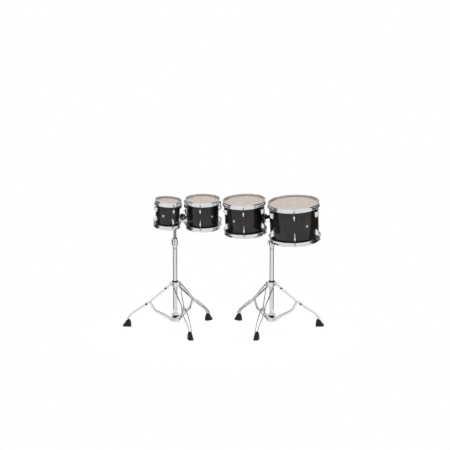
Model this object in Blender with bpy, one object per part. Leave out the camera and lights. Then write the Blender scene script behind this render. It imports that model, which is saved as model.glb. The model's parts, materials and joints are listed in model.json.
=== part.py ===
"""A set of four concert toms on two double-braced folding stands, in metres, +Z up."""

import math
from dataclasses import dataclass

import bmesh
import bpy
from mathutils import Matrix, Vector

# Fits between pieces
GAP = 0.0003
DRUM_SIDES = 20
HUB_SIDES = 24
SMALL_SIDES = 16
SOCKET_SIDES = 12
ROUND_SIDES = 8
ROD_SIDES = 6

# Stand: places of the masts and the tripod
MAST_X = 0.313
STAND_Y = 0.08661
LEG_AZIMUTHS = (169.0, 289.0, 49.0)
LEG_NAMES = ("outer", "front", "rear")
BOLT_AZIMUTH = 229.0

# Stand: tubes
BASE_R = 0.014
BASE_WALL = 0.0016
BASE_BOTTOM = 0.046
CLAMP_BOTTOM = 0.545
CLAMP_HEIGHT = 0.045
CLAMP_TOP = CLAMP_BOTTOM + CLAMP_HEIGHT
CLAMP_CONE = 0.004
CLAMP_FLOOR = 0.006
CLAMP_STEP = 0.002
EAR_HALF = (0.011, 0.010, 0.012)
EAR_OUT = 0.006
SLOT_HALF = (0.0015, 0.012, 0.030)
CLAMP_R = 0.0185
MAST_R = 0.0095
MAST_WALL = 0.0015
MAST_BOTTOM = 0.350
MAST_TOP = 0.742
COLLAR_R = 0.0165
COLLAR_HEIGHT = 0.014
BORE_CLEARANCE = 0.0003

# Stand: hubs, with three lobes each that the strips straddle
PIVOT_R = 0.026
LOBE_REACH = 0.034
UPPER_PIVOT_Z = 0.296
LOWER_PIVOT_Z = 0.062
LOBE_HEIGHT = 0.028
UPPER_HALF_WIDTH = 0.0196
LOWER_HALF_WIDTH = 0.0160
HUB_COLLAR_R = 0.0205
HUB_COLLAR_HEIGHT = 0.028
RING_HEIGHT = 0.008

# Stand: legs and braces, as distances from the mast and heights
JOINT_R = 0.169
JOINT_Z = 0.172
KNEE_R = 0.297
KNEE_Z = 0.083
TOE_R = 0.327
TOE_Z = 0.046
STRIP_WIDTH = 0.012
STRIP_THICKNESS = 0.0026
BRACE_JOINT_HALF_GAP = 0.0028
JOINT_PLAY = 0.0004
JOINT_HALF_GAP = BRACE_JOINT_HALF_GAP + STRIP_THICKNESS + JOINT_PLAY
BOW_HALF_GAP = 0.0125
TOE_HALF_GAP = 0.0070
ELBOW_SPREAD = 0.0022
STRIP_END = 0.006
LEG_STRAIGHT = 0.024
BRACE_STRAIGHT = 0.022
JOINT_STRAIGHT = 0.018
BOW_SHARES = (0.22, 0.60)
TOE_END = 0.004
BRACE_BEND_R = 0.150
BRACE_BEND_Z = 0.134
BRACE_ELBOW_R = 0.134
BRACE_ELBOW_Z = 0.113

# Stand: rubber feet
FOOT_HEEL_R = 0.300
FOOT_TOE_R = 0.353
FOOT_HALF_WIDTH = 0.0150
FOOT_HEIGHT = 0.050
FOOT_TOP_SHARE = 0.72
FOOT_BACK = 0.008
FOOT_MIDDLE = 0.003
FOOT_NOSE = 0.010
FOOT_HEIGHT_SHARES = (0.55, 1.0, 0.86, 0.42, 0.22)
FOOT_WIDTH_SHARES = (0.85, 1.0, 1.0, 1.0, 0.70)
POCKET_DEPTH_SHARE = 1.2

# Stand: ball clamps that hold the drums
BALL_OFFSET = 0.049
BALL_DROP = 0.007
BALL_Z = MAST_TOP - BALL_DROP
BALL_R = 0.013
SOCKET_R = 0.0205
SOCKET_HALF_LENGTH = 0.011
SOCKET_GROOVE_HALF = 0.004
SOCKET_MOUTH = 0.86
BALL_BACK = (0.0125, 0.004)
BALL_SHOULDER = 0.0092
BALL_NECK = 0.0118
HEAD_GRIP = 0.042
HEAD_CAP = 0.006
HEAD_BOTTOM = MAST_TOP - HEAD_GRIP
HEAD_TOP = MAST_TOP + HEAD_CAP
HEAD_R = 0.0165
CROSSBAR_HALF_WIDTH = 0.010
CROSSBAR_INTO_HEAD = 0.003
CROSSBAR_HALF_HEIGHT = 0.011
ROD_R = 0.0052
ROD_BEND_R = 0.012

# Wing bolts
BOLT_R = 0.0032
BOSS_R = 0.0062
WING_SPAN = 0.017
# from the shank outwards: distance, half thickness, half height
WING_STATIONS = (
    (0.0005, BOSS_R, BOSS_R),
    (0.007, BOSS_R, BOSS_R),
    (0.010, 0.0030, WING_SPAN * 0.75),
    (0.017, 0.0024, WING_SPAN),
    (0.020, 0.0014, WING_SPAN * 0.86),
)
HUB_BOLT_SHANK = 0.004
CLAMP_BOLT_SHANK = 0.003
CLAMP_BOLT_OUT = 0.009

# Drums
SHELL_WALL = 0.006
EDGE_ROUND = 0.0015
EDGE_CUT = 0.0045
LIP_HEIGHT = 0.0135
BRACKET_STANDOFF = 0.0265
BRACKET_HEIGHT = 0.036
BRACKET_BACK_R = 0.0115
BRACKET_NECK_R = 0.0160
BRACKET_RISE = 0.026
ROD_ABOVE_BRACKET = 0.024
TENSION_ROD_R = 0.0027
ROD_HEAD_R = 0.0055
ROD_HEAD_HEIGHT = 0.011
ROD_HEAD_TAPER = 0.62
ROD_SEAT = 0.0110
ROD_SHOULDER = 0.0005
ROD_CIRCLE = 0.0130
LUG_DEPTH = 0.0190
LUG_HALF_WIDTH = 0.0090
LUG_CROWN_SHARE = 0.55
LUG_WIDEST = (0.006, 0.013)
LUG_TAIL = (0.0028, 0.001)
LUG_INTO_SHELL = 0.003
LUG_SIDE_SHARE = 0.62
LUG_FACE_SHARE = 0.66
LUG_FACE_DROP = 0.010
FLANGE_DEPTH = 0.0132
ROD_EXPOSED = 0.016
FILM_TOP = 0.0012
FILM_UNDER = 0.0003
# beyond the shell's radius and above its edge, round the section of the head's edge
HEAD_EDGE = (
    (0.0010, FILM_TOP),
    (0.0036, -0.0015),
    (0.0050, -0.0090),
    (0.0006, -0.0090),
    (0.0006, FILM_UNDER),
)
# beyond the shell's radius and above its edge, round the section of a hoop
HOOP_PROFILE = (
    (0.0085, LIP_HEIGHT),
    (0.0058, 0.0108),
    (0.0058, 0.0018),
    (0.0090, 0.0004),
    (0.0090, -0.0112),
    (0.0178, -0.0120),
    (0.0178, -FLANGE_DEPTH),
    (0.0070, -FLANGE_DEPTH),
    (0.0041, -0.0008),
    (0.0041, LIP_HEIGHT),
)


@dataclass(frozen=True)
class Drum:
    """One drum's own sizes, in metres and degrees; side -1 is left and 1 is right.

    shift is how far its middle stands to the right of its ball, and lip_rise how far its
    top lip stands above the ball.
    """

    name: str
    stand_side: int
    ball_side: int
    radius: float
    depth: float
    shift: float
    lip_rise: float
    lean: float
    lugs: int
    first_lug: float
    lug_length: float
    rod_reach: float


DRUMS = (
    Drum("tom_6", -1, -1, 0.0762, 0.152, 0.008, 0.133, 3.5, 4, 27.0, 0.032, 0.036),
    Drum("tom_8", -1, 1, 0.1016, 0.165, 0.133, 0.135, 0.0, 4, -7.0, 0.034, 0.036),
    Drum("tom_10", 1, -1, 0.1270, 0.190, -0.128, 0.133, -2.5, 6, -4.0, 0.038, 0.036),
    Drum("tom_12", 1, 1, 0.1524, 0.216, 0.079, 0.134, -3.0, 6, -3.0, 0.042, 0.090),
)
TILT = 9.5

# name: colour, roughness, metallic
MATERIALS = {
    "chrome": ((0.78, 0.78, 0.80), 0.12, 1.0),
    "black_nylon": ((0.03, 0.03, 0.03), 0.45, 0.0),
    "rubber": ((0.02, 0.02, 0.02), 0.75, 0.0),
    "black_lacquer": ((0.045, 0.040, 0.038), 0.15, 0.0),
    "drum_film": ((0.85, 0.80, 0.74), 0.20, 0.0),
}


def clear_scene():
    for obj in list(bpy.data.objects):
        bpy.data.objects.remove(obj, do_unlink=True)


def material(name):
    found = bpy.data.materials.get(name)
    if found:
        return found
    colour, roughness, metallic = MATERIALS[name]
    made = bpy.data.materials.new(name)
    made.use_nodes = True
    shader = made.node_tree.nodes["Principled BSDF"]
    shader.inputs["Base Color"].default_value = (*colour, 1.0)
    shader.inputs["Roughness"].default_value = roughness
    shader.inputs["Metallic"].default_value = metallic
    return made


def finish(bm, name, finish_name, place):
    """Makes the object from its mesh, with its faces pointing out."""
    bmesh.ops.remove_doubles(bm, verts=bm.verts, dist=1e-6)
    bmesh.ops.recalc_face_normals(bm, faces=bm.faces)
    if bm.calc_volume(signed=True) < 0:
        bmesh.ops.reverse_faces(bm, faces=bm.faces)
    mesh = bpy.data.meshes.new(name)
    bm.to_mesh(mesh)
    bm.free()
    mesh.materials.append(material(finish_name))
    mesh.shade_smooth()
    mesh.set_sharp_from_angle(angle=math.radians(35))
    obj = bpy.data.objects.new(name, mesh)
    bpy.context.collection.objects.link(obj)
    obj.matrix_world = place
    return obj


def combine(obj, other, operation):
    """Joins another object to this one, or cuts it away."""
    other.hide_render = True
    other.display_type = "WIRE"
    modifier = obj.modifiers.new(operation.lower(), "BOOLEAN")
    modifier.operation = operation
    modifier.solver = "EXACT"
    modifier.object = other


def turned(profile, sides=DRUM_SIDES, outline=None):
    """A closed turned solid from (radius, height) points; outline(angle) may widen the lobes."""
    bm = bmesh.new()
    verts = [bm.verts.new((r, 0.0, z)) for r, z in profile]
    on_axis = profile[0][0] == 0 and profile[-1][0] == 0
    for a, b in zip(verts, verts[1:]):
        bm.edges.new((a, b))
    if not on_axis:
        bm.edges.new((verts[-1], verts[0]))
    bmesh.ops.spin(
        bm,
        geom=list(bm.verts) + list(bm.edges),
        cent=(0, 0, 0),
        axis=(0, 0, 1),
        angle=math.tau,
        steps=sides,
        use_merge=True,
    )
    bmesh.ops.remove_doubles(bm, verts=bm.verts, dist=1e-6)
    if outline:
        for vert in bm.verts:
            radius = math.hypot(vert.co.x, vert.co.y)
            if abs(radius - LOBE_REACH) < 1e-5:
                angle = math.degrees(math.atan2(vert.co.y, vert.co.x))
                scale = outline(angle) / radius
                vert.co.x *= scale
                vert.co.y *= scale
    return bm


def swept(bm, section, frames):
    """One closed solid: the section is extruded from each frame to the next."""
    face = bm.faces.new([bm.verts.new(frames[0] @ Vector(p)) for p in section])
    for step, (here, there) in enumerate(zip(frames, frames[1:])):
        made = bmesh.ops.extrude_face_region(bm, geom=[face])["geom"]
        if step:
            bmesh.ops.delete(bm, geom=[face], context="FACES_ONLY")
        for vert in made:
            if isinstance(vert, bmesh.types.BMVert):
                vert.co = there @ (here.inverted() @ vert.co)
        face = next(g for g in made if isinstance(g, bmesh.types.BMFace))
    return bm


def polygon(sides, radius=1.0):
    """A regular section in the local YZ plane."""
    return [
        (0.0, radius * math.cos(math.tau * k / sides), radius * math.sin(math.tau * k / sides))
        for k in range(sides)
    ]


def frame_at(point, along, up, wide=1.0, tall=1.0):
    """A frame whose X runs along the sweep, with the section's two scales."""
    x = Vector(along).normalized()
    y = Vector(up).cross(x).normalized()
    z = x.cross(y)
    turn = Matrix((x, y, z)).transposed().to_4x4()
    return Matrix.Translation(point) @ turn @ Matrix.Diagonal((1.0, wide, tall, 1.0))


def corner_frames(points, ups, wide=1.0, tall=1.0):
    """Frames along a polyline, each turned halfway between its two runs."""
    frames = []
    for k, point in enumerate(points):
        back = (point - points[k - 1]).normalized() if k else None
        ahead = (points[k + 1] - point).normalized() if k + 1 < len(points) else None
        along = back or ahead
        stretch = 1.0
        if back and ahead:
            along = (back + ahead).normalized()
            stretch = 1.0 / max(along.dot(ahead), 0.5)
        frames.append(frame_at(point, along, ups[k], wide * stretch, tall))
    return frames


def lobe_outline(half_width, angle_to_leg):
    """How far the hub reaches at an angle, for three square lobes."""
    angle = abs((angle_to_leg + 60.0) % 120.0 - 60.0)
    corner = math.degrees(math.atan2(half_width, LOBE_REACH))
    if angle <= corner:
        return LOBE_REACH / math.cos(math.radians(angle))
    return half_width / math.sin(math.radians(angle))


def hub(name, finish_name, place, pivot_z, half_width, collar_height):
    """A lobed hub with a plain collar above, bored for the tube."""
    bore = BASE_R + BORE_CLEARANCE
    low = pivot_z - LOBE_HEIGHT / 2
    high = pivot_z + LOBE_HEIGHT / 2
    top = high + collar_height
    profile = [
        (bore, low),
        (LOBE_REACH, low),
        (LOBE_REACH, high),
        (HUB_COLLAR_R, high),
        (HUB_COLLAR_R, top),
        (bore, top),
    ]
    bm = turned(profile, HUB_SIDES, lambda angle: lobe_outline(half_width, angle))
    return finish(bm, name, finish_name, place)


def strip_pair(name, stations, place):
    """Two flat strips that are one hairpin: out along one side, round the end, and back."""
    side = []
    for r, z, half_gap in stations:
        side.append(Vector((r, half_gap + STRIP_THICKNESS / 2, z)))
    path = side + [Vector((p.x, -p.y, p.z)) for p in reversed(side)]
    slopes = []
    for k in range(len(stations)):
        a = Vector((stations[max(k - 1, 0)][0], 0, stations[max(k - 1, 0)][1]))
        b_index = min(k + 1, len(stations) - 1)
        b = Vector((stations[b_index][0], 0, stations[b_index][1]))
        along = (b - a).normalized()
        slopes.append(Vector((-along.z, 0, along.x)))
    ups = slopes + list(reversed(slopes))
    half_t = STRIP_THICKNESS / 2
    half_w = STRIP_WIDTH / 2
    section = [(0, -half_t, -half_w), (0, half_t, -half_w), (0, half_t, half_w), (0, -half_t, half_w)]
    bm = swept(bmesh.new(), section, corner_frames(path, ups))
    return finish(bm, name, "chrome", place)


def leg_stations():
    """Distance, height and half gap of a leg's strips, from the hub to the toe."""
    start = UPPER_HALF_WIDTH + GAP
    slope = Vector((JOINT_R - PIVOT_R, JOINT_Z - UPPER_PIVOT_Z)).normalized()
    run = (Vector((JOINT_R, JOINT_Z)) - Vector((PIVOT_R, UPPER_PIVOT_Z))).length
    low = Vector((TOE_R - KNEE_R, TOE_Z - KNEE_Z)).normalized()
    mid = Vector((KNEE_R - JOINT_R, KNEE_Z - JOINT_Z))

    def upper(distance):
        return PIVOT_R + slope.x * distance, UPPER_PIVOT_Z + slope.y * distance

    return [
        (*upper(-STRIP_END), start),
        (*upper(LEG_STRAIGHT), start),
        (*upper(run - JOINT_STRAIGHT), JOINT_HALF_GAP),
        (*upper(run + STRIP_END), JOINT_HALF_GAP),
        *((JOINT_R + mid.x * share, JOINT_Z + mid.y * share, BOW_HALF_GAP) for share in BOW_SHARES),
        (KNEE_R, KNEE_Z, TOE_HALF_GAP),
        (TOE_R - low.x * TOE_END, TOE_Z - low.y * TOE_END, TOE_HALF_GAP),
    ]


def brace_stations():
    """Distance, height and half gap of a brace's strips, from the hub to the leg's joint."""
    start = LOWER_HALF_WIDTH + GAP
    along = Vector((BRACE_ELBOW_R - PIVOT_R, BRACE_ELBOW_Z - LOWER_PIVOT_Z))
    unit = along.normalized()
    return [
        (PIVOT_R - unit.x * STRIP_END, LOWER_PIVOT_Z - unit.y * STRIP_END, start),
        (PIVOT_R + unit.x * BRACE_STRAIGHT, LOWER_PIVOT_Z + unit.y * BRACE_STRAIGHT, start),
        (BRACE_ELBOW_R, BRACE_ELBOW_Z, BRACE_JOINT_HALF_GAP + ELBOW_SPREAD),
        (BRACE_BEND_R, BRACE_BEND_Z, BRACE_JOINT_HALF_GAP),
        (JOINT_R, JOINT_Z, BRACE_JOINT_HALF_GAP),
    ]


def foot(name, place):
    """A rubber boot round the leg's toe, with a pocket that the strips stand in."""
    low = Vector((TOE_R - KNEE_R, 0, TOE_Z - KNEE_Z)).normalized()
    half = FOOT_HALF_WIDTH
    top = half * FOOT_TOP_SHARE
    section = [(0, -half, 0.0), (0, half, 0.0), (0, top, 1.0), (0, -top, 1.0)]
    middle = (FOOT_HEEL_R + FOOT_TOE_R) / 2
    nose = FOOT_TOE_R - FOOT_NOSE
    distances = (FOOT_HEEL_R, FOOT_HEEL_R + FOOT_BACK, middle + FOOT_MIDDLE, nose, FOOT_TOE_R)
    frames = []
    for r, tall, wide in zip(distances, FOOT_HEIGHT_SHARES, FOOT_WIDTH_SHARES):
        frames.append(frame_at(Vector((r, 0, 0)), (1, 0, 0), (0, 0, 1), wide, FOOT_HEIGHT * tall))
    body = finish(swept(bmesh.new(), section, frames), name, "rubber", place)
    pocket = bmesh.new()
    wide = TOE_HALF_GAP + STRIP_THICKNESS + 2 * GAP
    tall = STRIP_WIDTH / 2 + 2 * GAP
    square = [(0, -wide, -tall), (0, wide, -tall), (0, wide, tall), (0, -wide, tall)]
    end = Vector((TOE_R, 0, TOE_Z))
    normal = Vector((-low.z, 0, low.x))
    mouth = end - low * FOOT_HEIGHT * POCKET_DEPTH_SHARE
    swept(pocket, square, [frame_at(mouth, low, normal), frame_at(end + low * GAP, low, normal)])
    cutter = finish(pocket, name + "_pocket", "rubber", place)
    combine(body, cutter, "DIFFERENCE")
    return body


def box(half, centre):
    bm = bmesh.new()
    bmesh.ops.create_cube(bm, size=2.0)
    bmesh.ops.scale(bm, vec=half, verts=bm.verts)
    bmesh.ops.translate(bm, vec=centre, verts=bm.verts)
    return bm


def base_tube(name, place):
    """The lower tube with the height clamp on its top end, split at the back for its bolt."""
    inner = BASE_R - BASE_WALL
    guide = MAST_R + BORE_CLEARANCE
    profile = [
        (inner, BASE_BOTTOM),
        (BASE_R, BASE_BOTTOM),
        (BASE_R, CLAMP_BOTTOM),
        (CLAMP_R, CLAMP_BOTTOM + CLAMP_CONE),
        (CLAMP_R, CLAMP_TOP),
        (guide, CLAMP_TOP),
        (guide, CLAMP_BOTTOM + CLAMP_FLOOR),
        (inner, CLAMP_BOTTOM + CLAMP_STEP),
    ]
    tube = finish(turned(profile, SMALL_SIDES), name, "chrome", place)
    middle = (CLAMP_BOTTOM + CLAMP_TOP) / 2
    at_back = (0, CLAMP_R + EAR_OUT, middle)
    ears = finish(box(EAR_HALF, at_back), name + "_ears", "chrome", place)
    combine(tube, ears, "UNION")
    slot = finish(box(SLOT_HALF, at_back), name + "_slot", "chrome", place)
    combine(tube, slot, "DIFFERENCE")
    return tube


def upper_tube(name, place):
    """The sliding tube, with the memory collar that rests on the clamp."""
    seat = CLAMP_TOP + GAP
    profile = [
        (MAST_R - MAST_WALL, MAST_BOTTOM),
        (MAST_R, MAST_BOTTOM),
        (MAST_R, seat),
        (COLLAR_R, seat),
        (COLLAR_R, seat + COLLAR_HEIGHT),
        (MAST_R, seat + COLLAR_HEIGHT),
        (MAST_R, MAST_TOP),
        (MAST_R - MAST_WALL, MAST_TOP),
    ]
    return finish(turned(profile, SMALL_SIDES), name, "chrome", place)


def holder_head(name, place, socket_turns):
    """The cap on the mast with a crossbar that ends in two ball sockets."""
    bore = MAST_R + BORE_CLEARANCE
    profile = [
        (0.0, HEAD_TOP),
        (HEAD_R, HEAD_TOP),
        (HEAD_R, HEAD_BOTTOM),
        (bore, HEAD_BOTTOM),
        (bore, MAST_TOP + GAP),
        (0.0, MAST_TOP + GAP),
    ]
    head = finish(turned(profile, SMALL_SIDES), name, "black_nylon", place)
    for side, turn in zip((-1, 1), socket_turns):
        inside = MAST_R + CROSSBAR_INTO_HEAD
        outside = BALL_OFFSET - SOCKET_R * SOCKET_MOUTH
        length = (outside - inside) / 2
        bar = finish(
            box((length, CROSSBAR_HALF_WIDTH, CROSSBAR_HALF_HEIGHT), (side * (inside + length), 0, BALL_Z)),
            f"{name}_bar_{side}",
            "black_nylon",
            place,
        )
        combine(head, bar, "UNION")
        narrow = BALL_R * SOCKET_MOUTH
        flat = math.cos(math.pi / SOCKET_SIDES)
        hollow = (BALL_R + GAP) / flat / flat
        ring = [
            (narrow, SOCKET_HALF_LENGTH),
            (SOCKET_R, SOCKET_HALF_LENGTH),
            (SOCKET_R, -SOCKET_HALF_LENGTH),
            (narrow, -SOCKET_HALF_LENGTH),
            (hollow, -SOCKET_GROOVE_HALF),
            (hollow, SOCKET_GROOVE_HALF),
        ]
        bm = turned(ring, SOCKET_SIDES)
        bmesh.ops.rotate(bm, matrix=Matrix.Rotation(math.pi / 2, 3, "Y"), verts=bm.verts)
        socket_place = place @ Matrix.Translation((side * BALL_OFFSET, 0, BALL_Z)) @ turn
        socket = finish(bm, f"{name}_socket_{side}", "black_nylon", socket_place)
        combine(head, socket, "UNION")
    return head


def arm(name, place, reach):
    """A ball with an L-shaped rod: out of the socket, then up through the drum's bracket."""
    frames = []
    ball = (
        (-BALL_BACK[0], BALL_BACK[1]),
        (-BALL_SHOULDER, BALL_SHOULDER),
        (0.0, BALL_R),
        (BALL_SHOULDER, BALL_SHOULDER),
        (BALL_NECK, ROD_R),
    )
    for x, radius in ball:
        frames.append(frame_at(Vector((x, 0, 0)), (1, 0, 0), (0, 0, 1), radius, radius))
    centre = Vector((reach - ROD_BEND_R, 0, ROD_BEND_R))
    for degrees in (0, 30, 60, 90):
        angle = math.radians(degrees)
        point = centre + ROD_BEND_R * Vector((math.sin(angle), 0, -math.cos(angle)))
        along = Vector((math.cos(angle), 0, math.sin(angle)))
        up = Vector((-math.sin(angle), 0, math.cos(angle)))
        frames.append(frame_at(point, along, up, ROD_R, ROD_R))
    top = Vector((reach, 0, BRACKET_RISE + BRACKET_HEIGHT + ROD_ABOVE_BRACKET))
    frames.append(frame_at(top, (0, 0, 1), (-1, 0, 0), ROD_R, ROD_R))
    return finish(swept(bmesh.new(), polygon(ROUND_SIDES), frames), name, "chrome", place)


def wing_bolt(name, place, shank):
    """A bolt along local X, from its tip inwards to the wings outside."""
    stations = [(0.0, BOLT_R, BOLT_R), (shank, BOLT_R, BOLT_R)]
    stations += [(shank + out, wide, tall) for out, wide, tall in WING_STATIONS]
    frames = [frame_at(Vector((x, 0, 0)), (1, 0, 0), (0, 0, 1), wide, tall) for x, wide, tall in stations]
    return finish(swept(bmesh.new(), polygon(ROUND_SIDES), frames), name, "chrome", place)


def shell(name, place, drum, angles):
    """The wooden shell with its bearing edges, and the lugs that are bolted to it."""
    radius = drum.radius
    half = drum.depth / 2
    inner = radius - SHELL_WALL
    profile = [
        (inner, half - EDGE_CUT),
        (radius - EDGE_ROUND, half),
        (radius, half - EDGE_ROUND),
        (radius, -half + EDGE_ROUND),
        (radius - EDGE_ROUND, -half),
        (inner, -half + EDGE_CUT),
    ]
    body = finish(turned(profile), name, "black_lacquer", place)
    lugs = bmesh.new()
    for angle in angles:
        for end in (-1, 1):
            add_lug(lugs, angle, end, radius, half, drum.lug_length)
    operand = finish(lugs, name + "_lugs", "chrome", place)
    combine(body, operand, "UNION")
    return body


def lug_angles(drum, azimuth):
    """Angles in the drum's own axes; the first lug is set from the front towards the right."""
    start = math.radians(drum.first_lug - 90.0) - azimuth
    return [start + math.tau * k / drum.lugs for k in range(drum.lugs)]


def lug_top(half):
    """How far a lug's end lies from the middle of the shell."""
    return half - FLANGE_DEPTH - ROD_EXPOSED


def add_lug(bm, angle, end, radius, half, length):
    """A teardrop: round and wide towards its hoop, pointed towards the middle."""
    top = lug_top(half)
    outline = [(LUG_HALF_WIDTH * LUG_CROWN_SHARE, 0.0)]
    outline += [(LUG_HALF_WIDTH, -below) for below in LUG_WIDEST]
    outline += [(LUG_TAIL[0], -length + LUG_TAIL[1])]
    mirrored = [(-y, z) for y, z in reversed(outline)]
    section = [(0.0, y, z) for y, z in outline + mirrored]
    turn = Matrix.Rotation(angle, 4, "Z")
    flip = Matrix.Diagonal((1, 1, end, 1))
    frames = []
    side = LUG_DEPTH * LUG_SIDE_SHARE
    for out, scale in ((-LUG_INTO_SHELL, 1.0), (side, 1.0), (LUG_DEPTH, LUG_FACE_SHARE)):
        shift = Matrix.Translation((radius + out, 0, top - (1 - scale) * LUG_FACE_DROP))
        frames.append(turn @ flip @ shift @ Matrix.Diagonal((1, scale, scale, 1)))
    swept(bm, section, frames)


def head(name, place, radius, half, end):
    """A film stretched over the bearing edge, with its hoop round the shell."""
    points = [(0.0, end * (half + FILM_TOP))]
    points += [(radius + out, end * (half + z)) for out, z in HEAD_EDGE]
    points += [(0.0, end * (half + FILM_UNDER))]
    return finish(turned(points), name, "drum_film", place)


def hoop(name, place, radius, half, angles, end):
    """A triple-flanged steel hoop with the tension rods that pull it down."""
    points = [(radius + out, end * (half + z)) for out, z in HOOP_PROFILE]
    ring = finish(turned(points), name, "chrome", place)
    rods = bmesh.new()
    seat = half - ROD_SEAT
    for angle in angles:
        centre = Matrix.Rotation(angle, 4, "Z") @ Vector((radius + ROD_CIRCLE, 0, 0))
        stations = (
            (lug_top(half) + GAP, TENSION_ROD_R),
            (seat - ROD_SHOULDER, TENSION_ROD_R),
            (seat, ROD_HEAD_R),
            (seat + ROD_HEAD_HEIGHT, ROD_HEAD_R * ROD_HEAD_TAPER),
        )
        frames = [
            frame_at(centre + Vector((0, 0, end * z)), (0, 0, end), (1, 0, 0), r, r) for z, r in stations
        ]
        swept(rods, polygon(ROD_SIDES), frames)
    operand = finish(rods, name + "_rods", "chrome", place)
    combine(ring, operand, "UNION")
    return ring


def bracket(name, place, reach):
    """The block on the shell that the rod passes up through."""
    bore = (ROD_R + BORE_CLEARANCE) / math.cos(math.pi / SMALL_SIDES)
    plate = BRACKET_STANDOFF - GAP
    high = BRACKET_RISE + BRACKET_HEIGHT
    profile = [(bore, BRACKET_RISE), (1.0, BRACKET_RISE), (1.0, high), (bore, high)]
    bm = turned(profile, SMALL_SIDES)
    for vert in bm.verts:
        radius = math.hypot(vert.co.x, vert.co.y)
        if radius < 0.5:
            continue
        angle = math.atan2(vert.co.y, vert.co.x)
        degrees = abs(math.degrees(angle))
        edge = BRACKET_BACK_R
        if degrees < 25:
            edge = plate / math.cos(angle)
        elif degrees < 50:
            edge = BRACKET_NECK_R
        vert.co.x *= edge / radius
        vert.co.y *= edge / radius
    bmesh.ops.translate(bm, vec=(reach, 0, 0), verts=bm.verts)
    return finish(bm, name, "chrome", place)


def drum_frame(drum):
    """The ball's centre, and axes with X towards the drum's axis and Z along it."""
    ball_x = drum.stand_side * MAST_X + drum.ball_side * BALL_OFFSET
    middle_x = ball_x + drum.shift
    ball = Vector((ball_x, STAND_Y, BALL_Z))
    distance = drum.rod_reach + BRACKET_STANDOFF + drum.radius
    azimuth = -math.acos((middle_x - ball.x) / distance)
    lean_turn = Matrix.Rotation(math.radians(drum.lean), 4, "Y")
    tilt_turn = Matrix.Rotation(math.radians(TILT), 4, "X")
    return ball, lean_turn @ tilt_turn @ Matrix.Rotation(azimuth, 4, "Z"), azimuth


def build_stand(side, label):
    """One stand: a mirrored copy has its legs at mirrored azimuths."""
    base = Matrix.Translation((side * MAST_X, STAND_Y, 0))

    def about(azimuth):
        mirrored = azimuth if side < 0 else 180.0 - azimuth
        return base @ Matrix.Rotation(math.radians(mirrored), 4, "Z")

    base_tube(f"{label}_base_tube", base)
    hub(f"{label}_upper_hub", "chrome", about(LEG_AZIMUTHS[0]), UPPER_PIVOT_Z, UPPER_HALF_WIDTH, RING_HEIGHT)
    hub(
        f"{label}_lower_hub",
        "chrome",
        about(LEG_AZIMUTHS[0]),
        LOWER_PIVOT_Z,
        LOWER_HALF_WIDTH,
        HUB_COLLAR_HEIGHT,
    )
    for leg_name, azimuth in zip(LEG_NAMES, LEG_AZIMUTHS):
        place = about(azimuth)
        at_upper = place @ Matrix.Translation((PIVOT_R, 0, UPPER_PIVOT_Z))
        at_lower = place @ Matrix.Translation((PIVOT_R, 0, LOWER_PIVOT_Z))
        leg = strip_pair(f"{label}_leg_{leg_name}", leg_stations(), place)
        rehang(leg, at_upper)
        brace = strip_pair(f"{label}_brace_{leg_name}", brace_stations(), place)
        rehang(brace, at_lower)
        foot(f"{label}_foot_{leg_name}", place)
    bolt_z = LOWER_PIVOT_Z + LOBE_HEIGHT / 2 + HUB_COLLAR_HEIGHT / 2
    bolt_place = about(BOLT_AZIMUTH) @ Matrix.Translation((HUB_COLLAR_R + GAP, 0, bolt_z))
    wing_bolt(f"{label}_hub_bolt", bolt_place, HUB_BOLT_SHANK)
    clamp_middle = (CLAMP_BOTTOM + CLAMP_TOP) / 2
    facing = Matrix.Rotation(math.pi, 4, "Z")
    beside_ear = (-EAR_HALF[0] - GAP, CLAMP_R + CLAMP_BOLT_OUT, clamp_middle)
    clamp_place = base @ Matrix.Translation(beside_ear) @ facing
    wing_bolt(f"{label}_clamp_bolt", clamp_place, CLAMP_BOLT_SHANK)
    upper_tube(f"{label}_upper_tube", base)


def rehang(obj, place):
    """Moves an object's origin onto its hinge, with the mesh left where it is."""
    shift = place.inverted() @ obj.matrix_world
    obj.data.transform(shift)
    obj.matrix_world = place


def build_drum(drum):
    """Builds one drum with its rod, and returns the turn that its socket takes."""
    ball, frame, azimuth = drum_frame(drum)
    distance = drum.rod_reach + BRACKET_STANDOFF + drum.radius
    half = drum.depth / 2
    along = frame @ Vector((distance, 0, 0))
    upward = frame @ Vector((0, 0, 1))
    lip_z = BALL_Z + drum.lip_rise
    rise = (lip_z - ball.z - along.z) / upward.z - half - LIP_HEIGHT
    at_ball = Matrix.Translation(ball) @ frame
    centre = at_ball @ Matrix.Translation((distance, 0, rise))
    angles = lug_angles(drum, azimuth)
    arm(f"{drum.name}_arm", at_ball, drum.rod_reach)
    bracket(f"{drum.name}_bracket", at_ball, drum.rod_reach)
    shell(f"{drum.name}_shell", centre, drum, angles)
    for end, part in ((1, "batter"), (-1, "resonant")):
        head(f"{drum.name}_{part}_head", centre, drum.radius, half, end)
        hoop(f"{drum.name}_{part}_hoop", centre, drum.radius, half, angles, end)
    return frame


def main():
    clear_scene()
    socket_turns = {}
    for drum in DRUMS:
        socket_turns[drum.stand_side, drum.ball_side] = build_drum(drum)
    for side, label in ((-1, "left"), (1, "right")):
        build_stand(side, label)
        base = Matrix.Translation((side * MAST_X, STAND_Y, 0))
        turns = (socket_turns[side, -1], socket_turns[side, 1])
        holder_head(f"{label}_holder_head", base, turns)


main()
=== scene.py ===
"""Four concert toms on two double-braced stands: finished meshes, materials, studio and camera."""

import json
import logging
import math
from dataclasses import dataclass, field
from enum import Enum
from typing import Callable, Iterable, Sequence

import bmesh
import bpy
from mathutils import Matrix, Vector


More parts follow.
